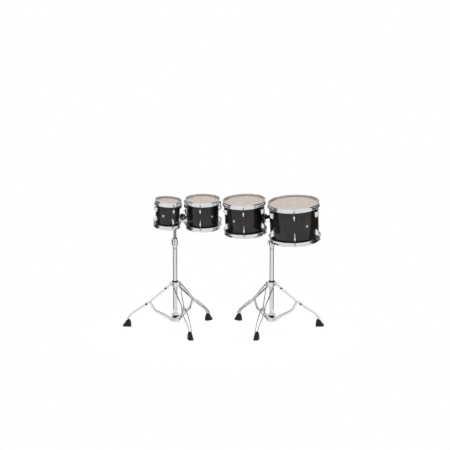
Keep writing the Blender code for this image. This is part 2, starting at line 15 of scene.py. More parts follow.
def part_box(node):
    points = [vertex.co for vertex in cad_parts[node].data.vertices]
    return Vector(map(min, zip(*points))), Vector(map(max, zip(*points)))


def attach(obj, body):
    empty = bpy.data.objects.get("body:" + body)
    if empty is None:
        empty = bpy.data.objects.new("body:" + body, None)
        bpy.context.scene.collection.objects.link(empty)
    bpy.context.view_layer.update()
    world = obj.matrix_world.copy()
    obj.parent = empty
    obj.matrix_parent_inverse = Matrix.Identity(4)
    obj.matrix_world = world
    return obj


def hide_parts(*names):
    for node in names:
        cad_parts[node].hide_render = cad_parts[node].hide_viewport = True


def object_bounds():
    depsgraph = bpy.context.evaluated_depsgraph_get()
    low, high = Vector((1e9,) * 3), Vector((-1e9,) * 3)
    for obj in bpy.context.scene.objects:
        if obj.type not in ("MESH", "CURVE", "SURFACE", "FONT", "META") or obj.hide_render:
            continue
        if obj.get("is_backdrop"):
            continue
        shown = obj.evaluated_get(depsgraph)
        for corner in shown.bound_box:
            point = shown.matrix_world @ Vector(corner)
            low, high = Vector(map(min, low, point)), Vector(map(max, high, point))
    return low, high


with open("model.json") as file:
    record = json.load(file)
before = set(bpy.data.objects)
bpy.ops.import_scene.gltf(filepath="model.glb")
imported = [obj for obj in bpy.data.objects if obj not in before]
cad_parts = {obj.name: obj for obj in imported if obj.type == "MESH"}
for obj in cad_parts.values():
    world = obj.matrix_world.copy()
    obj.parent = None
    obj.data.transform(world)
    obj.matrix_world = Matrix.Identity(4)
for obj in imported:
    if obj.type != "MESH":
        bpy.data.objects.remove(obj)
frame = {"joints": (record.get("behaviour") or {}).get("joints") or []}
CAD_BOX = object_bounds()

log = logging.getLogger("concert_toms")

Point = tuple[float, float]
Colour = tuple[float, float, float]


class Side(Enum):
    """Which of the two stands a piece belongs to, as the sign of its place across."""

    LEFT = -1
    RIGHT = 1

    @property
    def label(self) -> str:
        """The word that starts the names of this stand's nodes."""
        return self.name.lower()


class End(Enum):
    """Which end of a drum a head or a hoop sits on, as the sign along the drum's axis."""

    BATTER = 1
    RESONANT = -1

    @property
    def label(self) -> str:
        """The word used in the names of this end's nodes."""
        return self.name.lower()


class Level(Enum):
    """Which of a stand's two hubs is meant."""

    UPPER = "upper"
    LOWER = "lower"


# Finishes


class Tree:
    """A short way to build a node tree."""

    def __init__(self, tree: bpy.types.NodeTree) -> None:
        """Takes the tree to build in."""
        self.tree = tree

    def add(self, kind: str, **values: object) -> bpy.types.Node:
        """Adds a node.

        Args:
            kind: the node's Blender type.
            values: properties to set, or inputs by name.

        Returns:
            The new node.
        """
        node = self.tree.nodes.new(kind)
        for key, value in values.items():
            if hasattr(node, key):
                setattr(node, key, value)
            else:
                node.inputs[key.replace("_", " ")].default_value = value
        return node

    def link(self, source: bpy.types.NodeSocket, target: bpy.types.NodeSocket) -> None:
        """Joins an output to an input."""
        self.tree.links.new(source, target)

    def math(self, operation: str, first: object, second: object) -> bpy.types.NodeSocket:
        """A sum of two values, each a socket or a number.

        Args:
            operation: the math node's operation.
            first: the first value.
            second: the second value.

        Returns:
            The result's socket.
        """
        node = self.add("ShaderNodeMath", operation=operation)
        for socket, value in zip(node.inputs, (first, second)):
            if isinstance(value, bpy.types.NodeSocket):
                self.link(value, socket)
            else:
                socket.default_value = value
        return node.outputs["Value"]

    def ramp(
        self, source: bpy.types.NodeSocket, stops: Iterable[tuple[float, Colour]]
    ) -> bpy.types.NodeSocket:
        """A colour ramp over a value.

        Args:
            source: the value.
            stops: positions with their colours.

        Returns:
            The colour's socket.
        """
        node = self.add("ShaderNodeValToRGB")
        elements = node.color_ramp.elements
        stops = list(stops)
        while len(elements) < len(stops):
            elements.new(0.5)
        for element, (position, colour) in zip(elements, stops):
            element.position = position
            element.color = (*colour, 1.0)
        self.link(source, node.inputs["Fac"])
        return node.outputs["Color"]

    def seen_rays(self) -> bpy.types.NodeSocket:
        """One for rays that show a thing to the camera, directly, mirrored or through the film."""
        path = self.add("ShaderNodeLightPath").outputs
        direct_or_mirrored = self.math("MAXIMUM", path["Is Camera Ray"], path["Is Glossy Ray"])
        return self.math("MAXIMUM", direct_or_mirrored, path["Is Transmission Ray"])


class Nodes(Tree):
    """The node tree of a material, with its shader."""

    def __init__(self, name: str) -> None:
        """Starts a material of that name."""
        self.material = bpy.data.materials.new(name)
        self.material.use_nodes = True
        super().__init__(self.material.node_tree)
        self.shader = self.tree.nodes["Principled BSDF"]

    def base(self, colour: bpy.types.NodeSocket) -> None:
        """Gives the shader its base colour."""
        self.link(colour, self.shader.inputs["Base Color"])

    def set(self, **values: object) -> None:
        """Sets the shader's own sockets by name, with underscores for spaces."""
        for key, value in values.items():
            self.shader.inputs[key.replace("_", " ")].default_value = value

    def mapped(self, place: Matrix, scale: Sequence[float]) -> bpy.types.NodeSocket:
        """Object coordinates in a piece's own axes.

        Args:
            place: the piece's axes in the world.
            scale: how much to stretch each axis.

        Returns:
            The vector socket.
        """
        coordinates = self.add("ShaderNodeTexCoord")
        turn = self.add("ShaderNodeMapping", vector_type="POINT")
        inverse = place.inverted()
        turn.inputs["Location"].default_value = inverse.translation
        turn.inputs["Rotation"].default_value = inverse.to_euler()
        stretch = self.add("ShaderNodeMapping", vector_type="POINT")
        stretch.inputs["Scale"].default_value = scale
        self.link(coordinates.outputs["Object"], turn.inputs["Vector"])
        self.link(turn.outputs["Vector"], stretch.inputs["Vector"])
        return stretch.outputs["Vector"]

    def noise(self, vector: bpy.types.NodeSocket, scale: float, detail: float) -> bpy.types.NodeSocket:
        """A noise value over a vector."""
        node = self.add("ShaderNodeTexNoise", Scale=scale, Detail=detail, Roughness=0.6)
        self.link(vector, node.inputs["Vector"])
        return node.outputs["Fac"]

    def spread(self, source: bpy.types.NodeSocket, low: float, high: float) -> bpy.types.NodeSocket:
        """Maps the middle of a noise onto a range."""
        node = self.add("ShaderNodeMapRange", From_Min=0.35, From_Max=0.70, To_Min=low, To_Max=high)
        self.link(source, node.inputs["Value"])
        return node.outputs["Result"]

    def bump(self, height: bpy.types.NodeSocket, strength: float, distance: float) -> None:
        """Adds a bump to the shader's normal."""
        node = self.add("ShaderNodeBump", Strength=strength, Distance=distance)
        self.link(height, node.inputs["Height"])
        self.link(node.outputs["Normal"], self.shader.inputs["Normal"])


@dataclass(frozen=True)
class Metal:
    """Plated or satin metal: a faint haze, with small changes of gloss from handling."""

    name: str
    colour: Colour
    low_gloss: float
    high_gloss: float
    grain: Colour = (1.0, 1.0, 1.0)

    def build(self) -> bpy.types.Material:
        """Makes the material."""
        nodes = Nodes(self.name)
        nodes.set(Metallic=1.0)
        vector = nodes.mapped(Matrix(), self.grain)
        haze = nodes.noise(vector, 38.0, 4.0)
        duller = tuple(c * 0.95 for c in self.colour)
        nodes.base(nodes.ramp(haze, ((0.30, self.colour), (0.80, duller))))
        nodes.link(nodes.spread(haze, self.low_gloss, self.high_gloss), nodes.shader.inputs["Roughness"])
        nodes.bump(nodes.noise(vector, 900.0, 2.0), 0.03, 0.0004)
        return nodes.material


@dataclass(frozen=True)
class BlackLacquer:
    """Clear black lacquer over upright maple grain, darker towards both ends."""

    name: str
    dark: Colour = (0.0020, 0.0017, 0.0015)
    brown: Colour = (0.0080, 0.0060, 0.0048)
    pale: Colour = (0.0300, 0.0225, 0.0175)
    grain_stretch: float = 0.035
    figure_stretch: float = 0.22
    figure_share: float = 0.55

    def build(self, place: Matrix, half: float) -> bpy.types.Material:
        """Makes the material.

        Args:
            place: the drum's axes at the middle of its shell.
            half: half of the shell's depth.

        Returns:
            The material.
        """
        nodes = Nodes(self.name)
        grain = nodes.noise(nodes.mapped(place, (1.0, 1.0, self.grain_stretch)), 420.0, 6.0)
        figure = nodes.noise(nodes.mapped(place, (1.0, 1.0, self.figure_stretch)), 46.0, 3.0)
        shares = nodes.math("MULTIPLY", grain, 1.0 - self.figure_share)
        blend = nodes.math("ADD", nodes.math("MULTIPLY", figure, self.figure_share), shares)
        colours = nodes.ramp(blend, ((0.36, self.dark), (0.50, self.brown), (0.66, self.pale)))
        parts = nodes.add("ShaderNodeSeparateXYZ")
        nodes.link(nodes.mapped(place, (1.0, 1.0, 1.0 / half)), parts.inputs["Vector"])
        height = nodes.math("ABSOLUTE", parts.outputs["Z"], 0.0)
        fade = nodes.ramp(height, ((0.30, (1, 1, 1)), (0.93, (0.25, 0.25, 0.25))))
        mix = nodes.add("ShaderNodeMix", data_type="RGBA", blend_type="MULTIPLY")
        mix.inputs["Factor"].default_value = 1.0
        nodes.link(colours, mix.inputs[6])
        nodes.link(fade, mix.inputs[7])
        nodes.base(mix.outputs[2])
        nodes.set(Roughness=0.42, Specular_IOR_Level=0.12)
        nodes.set(Coat_Weight=0.85, Coat_Roughness=0.04, Coat_IOR=1.42)
        nodes.bump(grain, 0.05, 0.0003)
        return nodes.material


@dataclass(frozen=True)
class Maple:
    """Pale sanded maple ply on the inside of a shell."""

    name: str
    pale: Colour = (0.84, 0.73, 0.63)
    deep: Colour = (0.72, 0.59, 0.48)

    def build(self, place: Matrix) -> bpy.types.Material:
        """Makes the material in the axes of a drum."""
        nodes = Nodes(self.name)
        grain = nodes.noise(nodes.mapped(place, (1.0, 1.0, 0.05)), 230.0, 5.0)
        nodes.base(nodes.ramp(grain, ((0.35, self.deep), (0.62, self.pale))))
        nodes.set(Roughness=0.55)
        nodes.bump(grain, 0.08, 0.0004)
        return nodes.material


@dataclass(frozen=True)
class ClearFilm:
    """Clear polyester film, milky where light grazes it, with a trace of ripple."""

    name: str
    clear: Colour = (0.76, 0.640, 0.570)
    cloudy: Colour = (0.82, 0.695, 0.620)
    alpha: float = 0.58

    def build(self) -> bpy.types.Material:
        """Makes the material."""
        nodes = Nodes(self.name)
        vector = nodes.mapped(Matrix(), (1, 1, 1))
        ripple = nodes.noise(vector, 22.0, 2.0)
        colours = nodes.ramp(ripple, ((0.35, self.clear), (0.70, self.cloudy)))
        nodes.base(colours)
        nodes.set(Roughness=0.16, Alpha=self.alpha)
        nodes.bump(ripple, 0.02, 0.001)
        return nodes.material


@dataclass(frozen=True)
class Moulded:
    """Moulded rubber or nylon with a fine even texture."""

    name: str
    colour: Colour
    roughness: float
    grain: float
    gloss: float = 0.5

    def build(self) -> bpy.types.Material:
        """Makes the material."""
        nodes = Nodes(self.name)
        vector = nodes.mapped(Matrix(), (1, 1, 1))
        lighter = tuple(min(1.0, c * 1.9) for c in self.colour)
        colours = nodes.ramp(nodes.noise(vector, 60.0, 3.0), ((0.35, self.colour), (0.75, lighter)))
        nodes.base(colours)
        nodes.set(Roughness=self.roughness, Specular_IOR_Level=self.gloss)
        nodes.bump(nodes.noise(vector, self.grain, 2.0), 0.12, 0.0005)
        return nodes.material


@dataclass
class Palette:
    """Every finish whose own axes don't matter, made once."""

    made: dict[str, bpy.types.Material] = field(default_factory=dict)

    def get(self, key: str, build: Callable[[], bpy.types.Material]) -> bpy.types.Material:
        """Returns the finish of that key, making it the first time."""
        if key not in self.made:
            self.made[key] = build()
        return self.made[key]

    def chrome(self) -> bpy.types.Material:
        """Polished chrome plate."""
        return self.get("chrome", Metal("polished_chrome", (0.72, 0.725, 0.74), 0.035, 0.10).build)

    def satin(self) -> bpy.types.Material:
        """Rough steel of the sliding tube, drawn along its length, with a dark base colour."""
        return self.get("satin", Metal("satin_steel", (0.30, 0.30, 0.305), 0.30, 0.38, (1, 1, 0.04)).build)

    def sheared(self) -> bpy.types.Material:
        """A darker metal for a strip's narrow edges, a painted dark reflection along them."""
        return self.get("sheared", Metal("sheared_edge", (0.27, 0.272, 0.28), 0.26, 0.36).build)

    def thread(self) -> bpy.types.Material:
        """Darker steel for the tension rods, painted shade and dark reflection where they stand in front of
        the hoop.
        """
        return self.get("thread", Metal("rolled_thread", (0.20, 0.202, 0.21), 0.20, 0.30).build)

    def rubber(self) -> bpy.types.Material:
        """Black rubber."""
        return self.get("rubber", Moulded("boot_rubber", (0.008, 0.008, 0.008), 0.55, 700, 0.26).build)

    def nylon(self) -> bpy.types.Material:
        """Black nylon."""
        return self.get("nylon", Moulded("black_nylon", (0.006, 0.006, 0.0065), 0.36, 1200, 0.22).build)

    def film(self) -> bpy.types.Material:
        """Clear film."""
        return self.get("film", ClearFilm("clear_film").build)


PALETTE = Palette()


# Meshes


class Form:
    """A mesh being made in a piece's own axes."""

    def __init__(self) -> None:
        """Starts an empty mesh."""
        self.bm = bmesh.new()

    def turn(self, profile: Sequence[Point], steps: int, closed: bool = True) -> "Form":
        """Adds a turned solid.

        Args:
            profile: (radius, height) points in order.
            steps: how many facets round the axis.
            closed: whether the last point joins the first.

        Returns:
            This form.
        """
        verts = [self.bm.verts.new((r, 0.0, z)) for r, z in profile]
        edges = [self.bm.edges.new(pair) for pair in zip(verts, verts[1:])]
        if closed:
            edges.append(self.bm.edges.new((verts[-1], verts[0])))
        bmesh.ops.spin(
            self.bm,
            geom=verts + edges,
            cent=(0, 0, 0),
            axis=(0, 0, 1),
            angle=math.tau,
            steps=steps,
            use_merge=True,
        )
        bmesh.ops.remove_doubles(self.bm, verts=self.bm.verts, dist=1e-6)
        return self

    def sweep(self, section: Sequence[Point], stations: Sequence[Matrix]) -> "Form":
        """Adds a solid extruded from station to station.

        Args:
            section: points across the sweep.
            stations: frames whose X runs along the sweep.

        Returns:
            This form.
        """
        first = [self.bm.verts.new(stations[0] @ Vector((0, y, z))) for y, z in section]
        face = self.bm.faces.new(first)
        for step, (here, there) in enumerate(zip(stations, stations[1:])):
            made = bmesh.ops.extrude_face_region(self.bm, geom=[face])["geom"]
            if step:
                bmesh.ops.delete(self.bm, geom=[face], context="FACES_ONLY")
            moved = [g for g in made if isinstance(g, bmesh.types.BMVert)]
            bmesh.ops.transform(self.bm, matrix=there @ here.inverted(), verts=moved)
            face = next(g for g in made if isinstance(g, bmesh.types.BMFace))
        return self

    def box(
        self, half: Sequence[float], centre: Sequence[float], edge: float, place: Matrix = Matrix()
    ) -> "Form":
        """Adds a block with rounded edges.

        Args:
            half: half sizes.
            centre: its middle.
            edge: the radius of its edges.
            place: axes that the block is laid in.

        Returns:
            This form.
        """
        made = bmesh.ops.create_cube(self.bm, size=2.0)["verts"]
        bmesh.ops.scale(self.bm, vec=half, verts=made)
        bmesh.ops.translate(self.bm, vec=centre, verts=made)
        bmesh.ops.transform(self.bm, matrix=place, verts=made)
        edges = list({e for v in made for e in v.link_edges})
        bmesh.ops.bevel(
            self.bm, geom=edges, offset=edge, segments=3, profile=0.5, affect="EDGES", material=-1
        )
        return self

    def moved(self, place: Matrix) -> "Form":
        """Moves all of the mesh."""
        bmesh.ops.transform(self.bm, matrix=place, verts=self.bm.verts)
        return self

    def add(self, other: "Form", place: Matrix) -> "Form":
        """Adds a copy of another form at a place."""
        mesh = bpy.data.meshes.new("part")
        other.bm.to_mesh(mesh)
        mesh.transform(place)
        self.bm.from_mesh(mesh)
        bpy.data.meshes.remove(mesh)
        return self

    def mark_edges(self) -> "Form":
        """Gives a strip's narrow faces, whose normals have little Y, the second finish, whose darker metal
        paints a dark reflection on them.
        """
        self.bm.normal_update()
        for face in self.bm.faces:
            face.material_index = int(abs(face.normal.y) < 0.75)
        return self

    def piece(
        self,
        name: str,
        finish: bpy.types.Material,
        smooth: float = 40.0,
        second: bpy.types.Material | None = None,
    ) -> bpy.types.Object:
        """Makes the object.

        Args:
            name: the piece's name.
            finish: its material.
            smooth: the sharpest angle that is shaded round, in degrees.
            second: the material of its marked faces.

        Returns:
            The object, with its place in its mesh.
        """
        bmesh.ops.remove_doubles(self.bm, verts=self.bm.verts, dist=1e-6)
        bmesh.ops.recalc_face_normals(self.bm, faces=self.bm.faces)
        mesh = bpy.data.meshes.new(name)
        self.bm.to_mesh(mesh)
        self.bm.free()
        mesh.materials.append(finish)
        if second:
            mesh.materials.append(second)
        mesh.shade_smooth()
        mesh.set_sharp_from_angle(angle=math.radians(smooth))
        obj = bpy.data.objects.new(name, mesh)
        bpy.context.scene.collection.objects.link(obj)
        return obj


def publish(obj: bpy.types.Object, body: str, slot: str, *nodes: str) -> bpy.types.Object:
    """Hands a piece over to the frame.

    Args:
        obj: the piece.
        body: the body it moves with.
        slot: the material slot it belongs to; not used.
        nodes: the CAD nodes that it stands for.

    Returns:
        The piece.
    """
    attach(obj, body)
    if nodes:
        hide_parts(*nodes)
    log.info("%s rides on %s, %d faces", obj.name, body, len(obj.data.polygons))
    return obj


def ring_section(sides: int, radius: float = 1.0) -> list[Point]:
    """A round section."""
    return [
        (radius * math.cos(math.tau * k / sides), radius * math.sin(math.tau * k / sides))
        for k in range(sides)
    ]


def rounded_section(half_y: float, half_z: float, radius: float, corners: int = 3) -> list[Point]:
    """A rectangle with round corners, in order."""
    points: list[Point] = []
    for quarter in range(4):
        sy = 1 if quarter in (0, 3) else -1
        sz = 1 if quarter in (0, 1) else -1
        for k in range(corners + 1):
            angle = math.pi / 2 * (quarter + k / corners)
            y = sy * (half_y - radius) + radius * math.cos(angle)
            z = sz * (half_z - radius) + radius * math.sin(angle)
            points.append((y, z))
    return points


def station(point: Vector, along: Vector, up: Vector, wide: float = 1.0, tall: float = 1.0) -> Matrix:
    """A frame whose X runs along a sweep, with the section's two scales."""
    x = along.normalized()
    y = up.cross(x).normalized()
    z = x.cross(y)
    turn = Matrix((x, y, z)).transposed().to_4x4()
    return Matrix.Translation(point) @ turn @ Matrix.Diagonal((1.0, wide, tall, 1.0))


def smooth_path(points: Sequence[Vector], per_run: int) -> list[Vector]:
    """A smooth curve through points.

    Args:
        points: the points to pass through.
        per_run: how many steps each run between two points takes.

    Returns:
        The finer points.
    """
    found: list[Vector] = []
    last = len(points) - 1
    for k in range(last):
        a, b, c, d = points[max(k - 1, 0)], points[k], points[k + 1], points[min(k + 2, last)]
        for step in range(per_run):
            t = step / per_run
            bend = 2 * a - 5 * b + 4 * c - d
            found.append(0.5 * (2 * b + (c - a) * t + bend * t**2 + (3 * b - a - 3 * c + d) * t**3))
    found.append(points[last].copy())
    return found


@dataclass(frozen=True)
class WingBolt:
    """A wing bolt along local X: a shank, a round boss and two swept wings."""

    shank: float
    shank_radius: float = 0.0032
    boss_radius: float = 0.0060
    boss_length: float = 0.0070
    reach: float = 0.0182
    span: float = 0.0138

    def form(self) -> Form:
        """Makes the bolt, with its tip at the origin."""
        x, y, z = Vector((1, 0, 0)), Vector((0, 1, 0)), Vector((0, 0, 1))
        s, boss = self.shank, self.boss_radius
        end = s + self.boss_length
        rows = (
            (0.0, self.shank_radius),
            (s, self.shank_radius),
            (s, boss - 0.0008),
            (s + 0.0008, boss),
            (end - 0.0015, boss * 0.90),
            (end, boss * 0.62),
            (end + 0.0009, boss * 0.30),
        )
        form = Form().sweep(ring_section(20), [station(x * at, x, z, r, r) for at, r in rows])
        for sign in (1, -1):
            path = smooth_path(
                [
                    Vector((s + 0.0040, 0, sign * 0.0022)),
                    Vector((s + 0.0085, 0, sign * 0.0074)),
                    Vector((s + 0.0135, 0, sign * 0.0118)),
                    Vector((s + self.reach, 0, sign * self.span)),
                ],
                4,
            )
            frames = []
            for k, point in enumerate(path):
                along = path[min(k + 1, len(path) - 1)] - path[max(k - 1, 0)]
                share = k / (len(path) - 1)
                wide = 0.0030 + 0.0014 * math.sin(math.pi * share**0.8)
                tip = math.sqrt(max(0.06, 1.0 - share**6))
                frames.append(station(point, along, y, wide * tip, (0.0021 - 0.0005 * share) * tip))
            form.sweep(ring_section(14), frames)
        return form


# Drums


@dataclass
class Drum:
    """One concert tom: shell, lugs, heads, hoops, tension rods, bracket and rod.

    shift is how far its middle stands to the right of its ball, and lip_rise how far its top
    lip stands above the ball.
    """

    name: str
    radius: float
    depth: float
    shift: float
    lip_rise: float
    lean: float
    lugs: int
    first_lug: float
    lug_length: float
    rod_reach: float
    vent_angle: float

    tilt: float = 9.5
    wall: float = 0.006
    veneer: float = 0.0012
    lip: float = 0.0135
    standoff: float = 0.0265
    lug_half_width: float = 0.0090
    lug_depth: float = 0.0190
    flange_depth: float = 0.0132
    flange_inner: float = 0.0100
    flange_reach: float = 0.0116
    ear_reach: float = 0.0164
    ear_flat: float = 0.0055
    ear_run: float = 0.0110
    rod_exposed: float = 0.016
    rod_circle: float = 0.0130
    tension_rod_radius: float = 0.0027
    thread_pitch: float = 0.0011
    rod_radius: float = 0.0052
    rod_bend: float = 0.012
    ball_radius: float = 0.013
    bracket_rise: float = 0.026
    bracket_height: float = 0.036
    boss_radius: float = 0.0112
    rod_above_bracket: float = 0.024
    steps: int = 96

    def __post_init__(self) -> None:
        """Works out the drum's axes from its tilt joint and its own sizes."""
        joints = {j["name"]: j for j in frame["joints"]}
        self.ball = Vector(joints[f"{self.name}_tilt"]["pos_m"])
        distance = self.rod_reach + self.standoff + self.radius
        self.azimuth = -math.acos(self.shift / distance)
        turn = (
            Matrix.Rotation(math.radians(self.lean), 4, "Y")
            @ Matrix.Rotation(math.radians(self.tilt), 4, "X")
            @ Matrix.Rotation(self.azimuth, 4, "Z")
        )
        self.half = self.depth / 2
        along = turn @ Vector((distance, 0, 0))
        upward = turn @ Vector((0, 0, 1))
        rise = (self.lip_rise - along.z) / upward.z - self.half - self.lip
        self.at_ball = Matrix.Translation(self.ball) @ turn
        centre = self.at_ball @ Matrix.Translation((distance, 0, rise))
        self.facing = centre @ Matrix.Rotation(-self.azimuth, 4, "Z")
        self.lug_top = self.half - self.flange_depth - self.rod_exposed

    def angles(self) -> list[float]:
        """The lugs' angles in the facing axes, where the front is at -90 degrees."""
        start = math.radians(self.first_lug - 90.0)
        return [start + math.tau * k / self.lugs for k in range(self.lugs)]

    def finished(self, form: Form, part: str, finish: bpy.types.Material, *nodes: str) -> None:
        """Places a form in the facing axes and hands it over as a piece of this drum."""
        piece = form.moved(self.facing).piece(f"{self.name}_{part}", finish, 50)
        publish(piece, self.name, "chrome", *(f"{self.name}_{node}" for node in nodes))

    def build(self) -> None:
        """Builds and dresses every piece."""
        self.build_shell()
        self.build_lugs()
        self.build_vent()
        for end in End:
            self.build_head(end)
            self.build_hoop(end)
            self.build_rods(end)
        self.build_bracket()
        self.build_rod()

    def build_shell(self) -> None:
        """The lacquered outer ply and the maple inside, cut to one bearing edge."""
        r, h = self.radius, self.half
        inner = r - self.wall
        skin_edge = [(r - self.veneer, h - 0.0010), (r - 0.0006, h - 0.0008), (r - 0.0001, h - 0.0018)]
        skin = Form().turn(skin_edge + [(x, -z) for x, z in reversed(skin_edge)], self.steps * 2)
        finish = BlackLacquer(f"{self.name}_lacquer").build(self.facing, self.half)
        outer = skin.moved(self.facing).piece(f"{self.name}_outer_ply", finish)
        publish(outer, self.name, "black_lacquer", f"{self.name}_shell")
        core_edge = [
            (inner, h - 0.0050),
            (r - 0.0024, h - 0.0002),
            (r - 0.0018, h - 0.0001),
            (r - self.veneer - 0.0001, h - 0.0008),
        ]
        core = Form().turn(core_edge + [(x, -z) for x, z in reversed(core_edge)], self.steps * 2)
        maple = Maple(f"{self.name}_maple").build(self.facing)
        lining = core.moved(self.facing).piece(f"{self.name}_inner_ply", maple)
        publish(lining, self.name, "black_lacquer")

    def lug_outline(self) -> list[Point]:
        """The teardrop seen from outside, with its wide end at the top."""
        width, length = self.lug_half_width, self.lug_length
        neck = 0.25
        outline: list[Point] = []
        for k in range(32):
            angle = math.tau * k / 32
            y = width * math.sin(angle)
            z = width * (math.cos(angle) - 1.0)
            if math.cos(angle) < neck:
                share = (neck - math.cos(angle)) / (1.0 + neck)
                z = -width * (1.0 - neck) - share * (length - width * (1.0 - neck))
                y *= 1 - share * 0.35
            outline.append((y, z))
        return outline

    def lug_form(self) -> Form:
        """One teardrop lug, with X out from the shell, and the bush that takes its rod."""
        levels = ((0.0, 1.03), (0.0022, 1.03), (0.0034, 0.97), (0.0080, 0.94), (0.0120, 0.87))
        levels += ((0.0150, 0.76), (0.0172, 0.62), (0.0185, 0.44), (0.0190, 0.22))
        stations = []
        for x, scale in levels:
            sink = 1.0 - x / self.lug_depth * 0.20
            shift = Matrix.Translation((x, 0, -self.lug_half_width * (1 - scale)))
            stations.append(shift @ Matrix.Diagonal((1, scale, scale * sink, 1)))
        form = Form().sweep(self.lug_outline(), stations)
        bush = [(0.0, 0.0), (0.0052, 0.0), (0.0052, 0.0016), (0.0044, 0.0024), (0.0034, 0.0024)]
        bush += [(0.0034, 0.0010), (0.0, 0.0010)]
        collar = Form().turn(bush, 20, closed=False)
        form.add(collar, Matrix.Translation((self.rod_circle, 0, -0.0030)))
        collar.bm.free()
        return form

    def build_lugs(self) -> None:
        """All the lugs, with the heads of their screws inside the shell."""
        lugs, screws = Form(), Form()
        lug = self.lug_form()
        screw = Form().turn([(0.0, 0.0022), (0.0030, 0.0017), (0.0042, 0.0), (0.0, 0.0)], 16, closed=False)
        inside = Matrix.Rotation(-math.pi / 2, 4, "Y")
        for angle in self.angles():
            for end in End:
                spot = (
                    Matrix.Rotation(angle, 4, "Z")
                    @ Matrix.Diagonal((1, 1, end.value, 1))
                    @ Matrix.Translation((self.radius, 0, self.lug_top))
                )
                lugs.add(lug, spot)
                for drop in (0.30, 0.72):
                    at = spot @ Matrix.Translation((-self.wall, 0, -self.lug_length * drop))
                    screws.add(screw, at @ inside)
        self.finished(lugs, "lugs", PALETTE.chrome())
        self.finished(screws, "lug_screws", PALETTE.nylon())
        screw.bm.free()
        lug.bm.free()

    def build_vent(self) -> None:
        """The chrome grommet of the air vent, at the middle of the shell."""
        profile = [(0.0030, 0.0), (0.0075, 0.0), (0.0072, 0.0010), (0.0055, 0.0018), (0.0036, 0.0016)]
        grommet = Form().turn(profile + [(0.0030, 0.0006)], 32)
        spot = Matrix.Rotation(math.radians(self.vent_angle - 90.0), 4, "Z")
        spot @= Matrix.Translation((self.radius - 0.0001, 0, 0)) @ Matrix.Rotation(math.pi / 2, 4, "Y")
        self.finished(grommet.moved(spot), "vent", PALETTE.chrome())

    def at_end(self, profile: Sequence[Point], end: End) -> list[Point]:
        """Turns points measured from the shell's radius and edge into points of one end."""
        found = []
        for out, z in profile:
            radius = 0.0 if out is None else self.radius + out
            found.append((radius, end.value * (self.half + z)))
        return found

    def build_head(self, end: End) -> None:
        """The clear film with its rolled collar, and the metal ring that holds its edge.

        Args:
            end: which end of the drum it covers.
        """
        above = [(None, 0.0011), (-0.0100, 0.0011), (-0.0020, 0.0010), (0.0002, 0.0002)]
        edge = [(0.0012, -0.0014), (0.0016, -0.0030), (0.0010, -0.0030), (0.0006, -0.0014)]
        below = [(-0.0006, -0.0001), (-0.0024, 0.0005), (-0.0100, 0.0006), (None, 0.0006)]
        film = Form().turn(self.at_end(above + edge + below, end), self.steps, closed=False)
        skin = film.moved(self.facing).piece(f"{self.name}_{end.label}_film", PALETTE.film(), 60)
        publish(skin, self.name, "drum_film", f"{self.name}_{end.label}_head")
        ring = [(0.0010, -0.0020), (0.0034, -0.0020), (0.0048, -0.0088), (0.0010, -0.0088)]
        flesh = Form().turn(self.at_end(ring, end), self.steps).moved(self.facing)
        hoop = flesh.piece(f"{self.name}_{end.label}_flesh_hoop", PALETTE.chrome())
        publish(hoop, self.name, "drum_film")

    def flange_at(self, angle: float) -> float:
        """How far the lower flange reaches at an angle: wide ears at the rods, narrow between."""
        pitch = math.tau / self.lugs
        start = math.radians(self.first_lug - 90.0)
        apart = abs((angle - start + pitch / 2) % pitch - pitch / 2)
        run = (apart * (self.radius + self.rod_circle) - self.ear_flat) / self.ear_run
        ease = min(1.0, max(0.0, run))
        share = 1.0 - ease * ease * (3.0 - 2.0 * ease)
        return self.flange_reach + (self.ear_reach - self.flange_reach) * share

    def build_hoop(self, end: End) -> None:
        """The triple-flanged hoop, rolled from 2 mm steel, with an ear for each rod."""
        lip = [(0.0041, 0.0122), (0.0046, 0.0131), (0.0060, 0.0135), (0.0080, 0.0134), (0.0085, 0.0128)]
        lip += [(0.0081, 0.0121), (0.0066, 0.0117), (0.0059, 0.0108), (0.0058, 0.0035)]
        step = [(0.0062, 0.0024), (0.0072, 0.0019), (0.0084, 0.0013), (0.0090, 0.0002)]
        ear = self.ear_reach
        flange = [(0.0091, -0.0090), (0.0095, -0.0104), (0.0104, -0.0111), (ear - 0.0008, -0.0113)]
        flange += [(ear, -0.0122), (ear - 0.0006, -0.0131), (0.0102, -0.0132)]
        back = [(0.0080, -0.0124), (0.0072, -0.0105), (0.0070, -0.0012), (0.0062, -0.0004)]
        back += [(0.0048, 0.0002), (0.0042, 0.0014)]
        hoop = Form().turn(self.at_end(lip + step + flange + back, end), self.steps * 3)
        inner = self.radius + self.flange_inner
        full = self.ear_reach - self.flange_inner
        for vert in hoop.bm.verts:
            out = vert.co.xy.length
            if out > inner:
                reach = self.flange_at(math.atan2(vert.co.y, vert.co.x)) - self.flange_inner
                vert.co.xy *= (inner + (out - inner) * reach / full) / out
        self.finished(hoop, f"{end.label}_rim", PALETTE.chrome(), f"{end.label}_hoop")

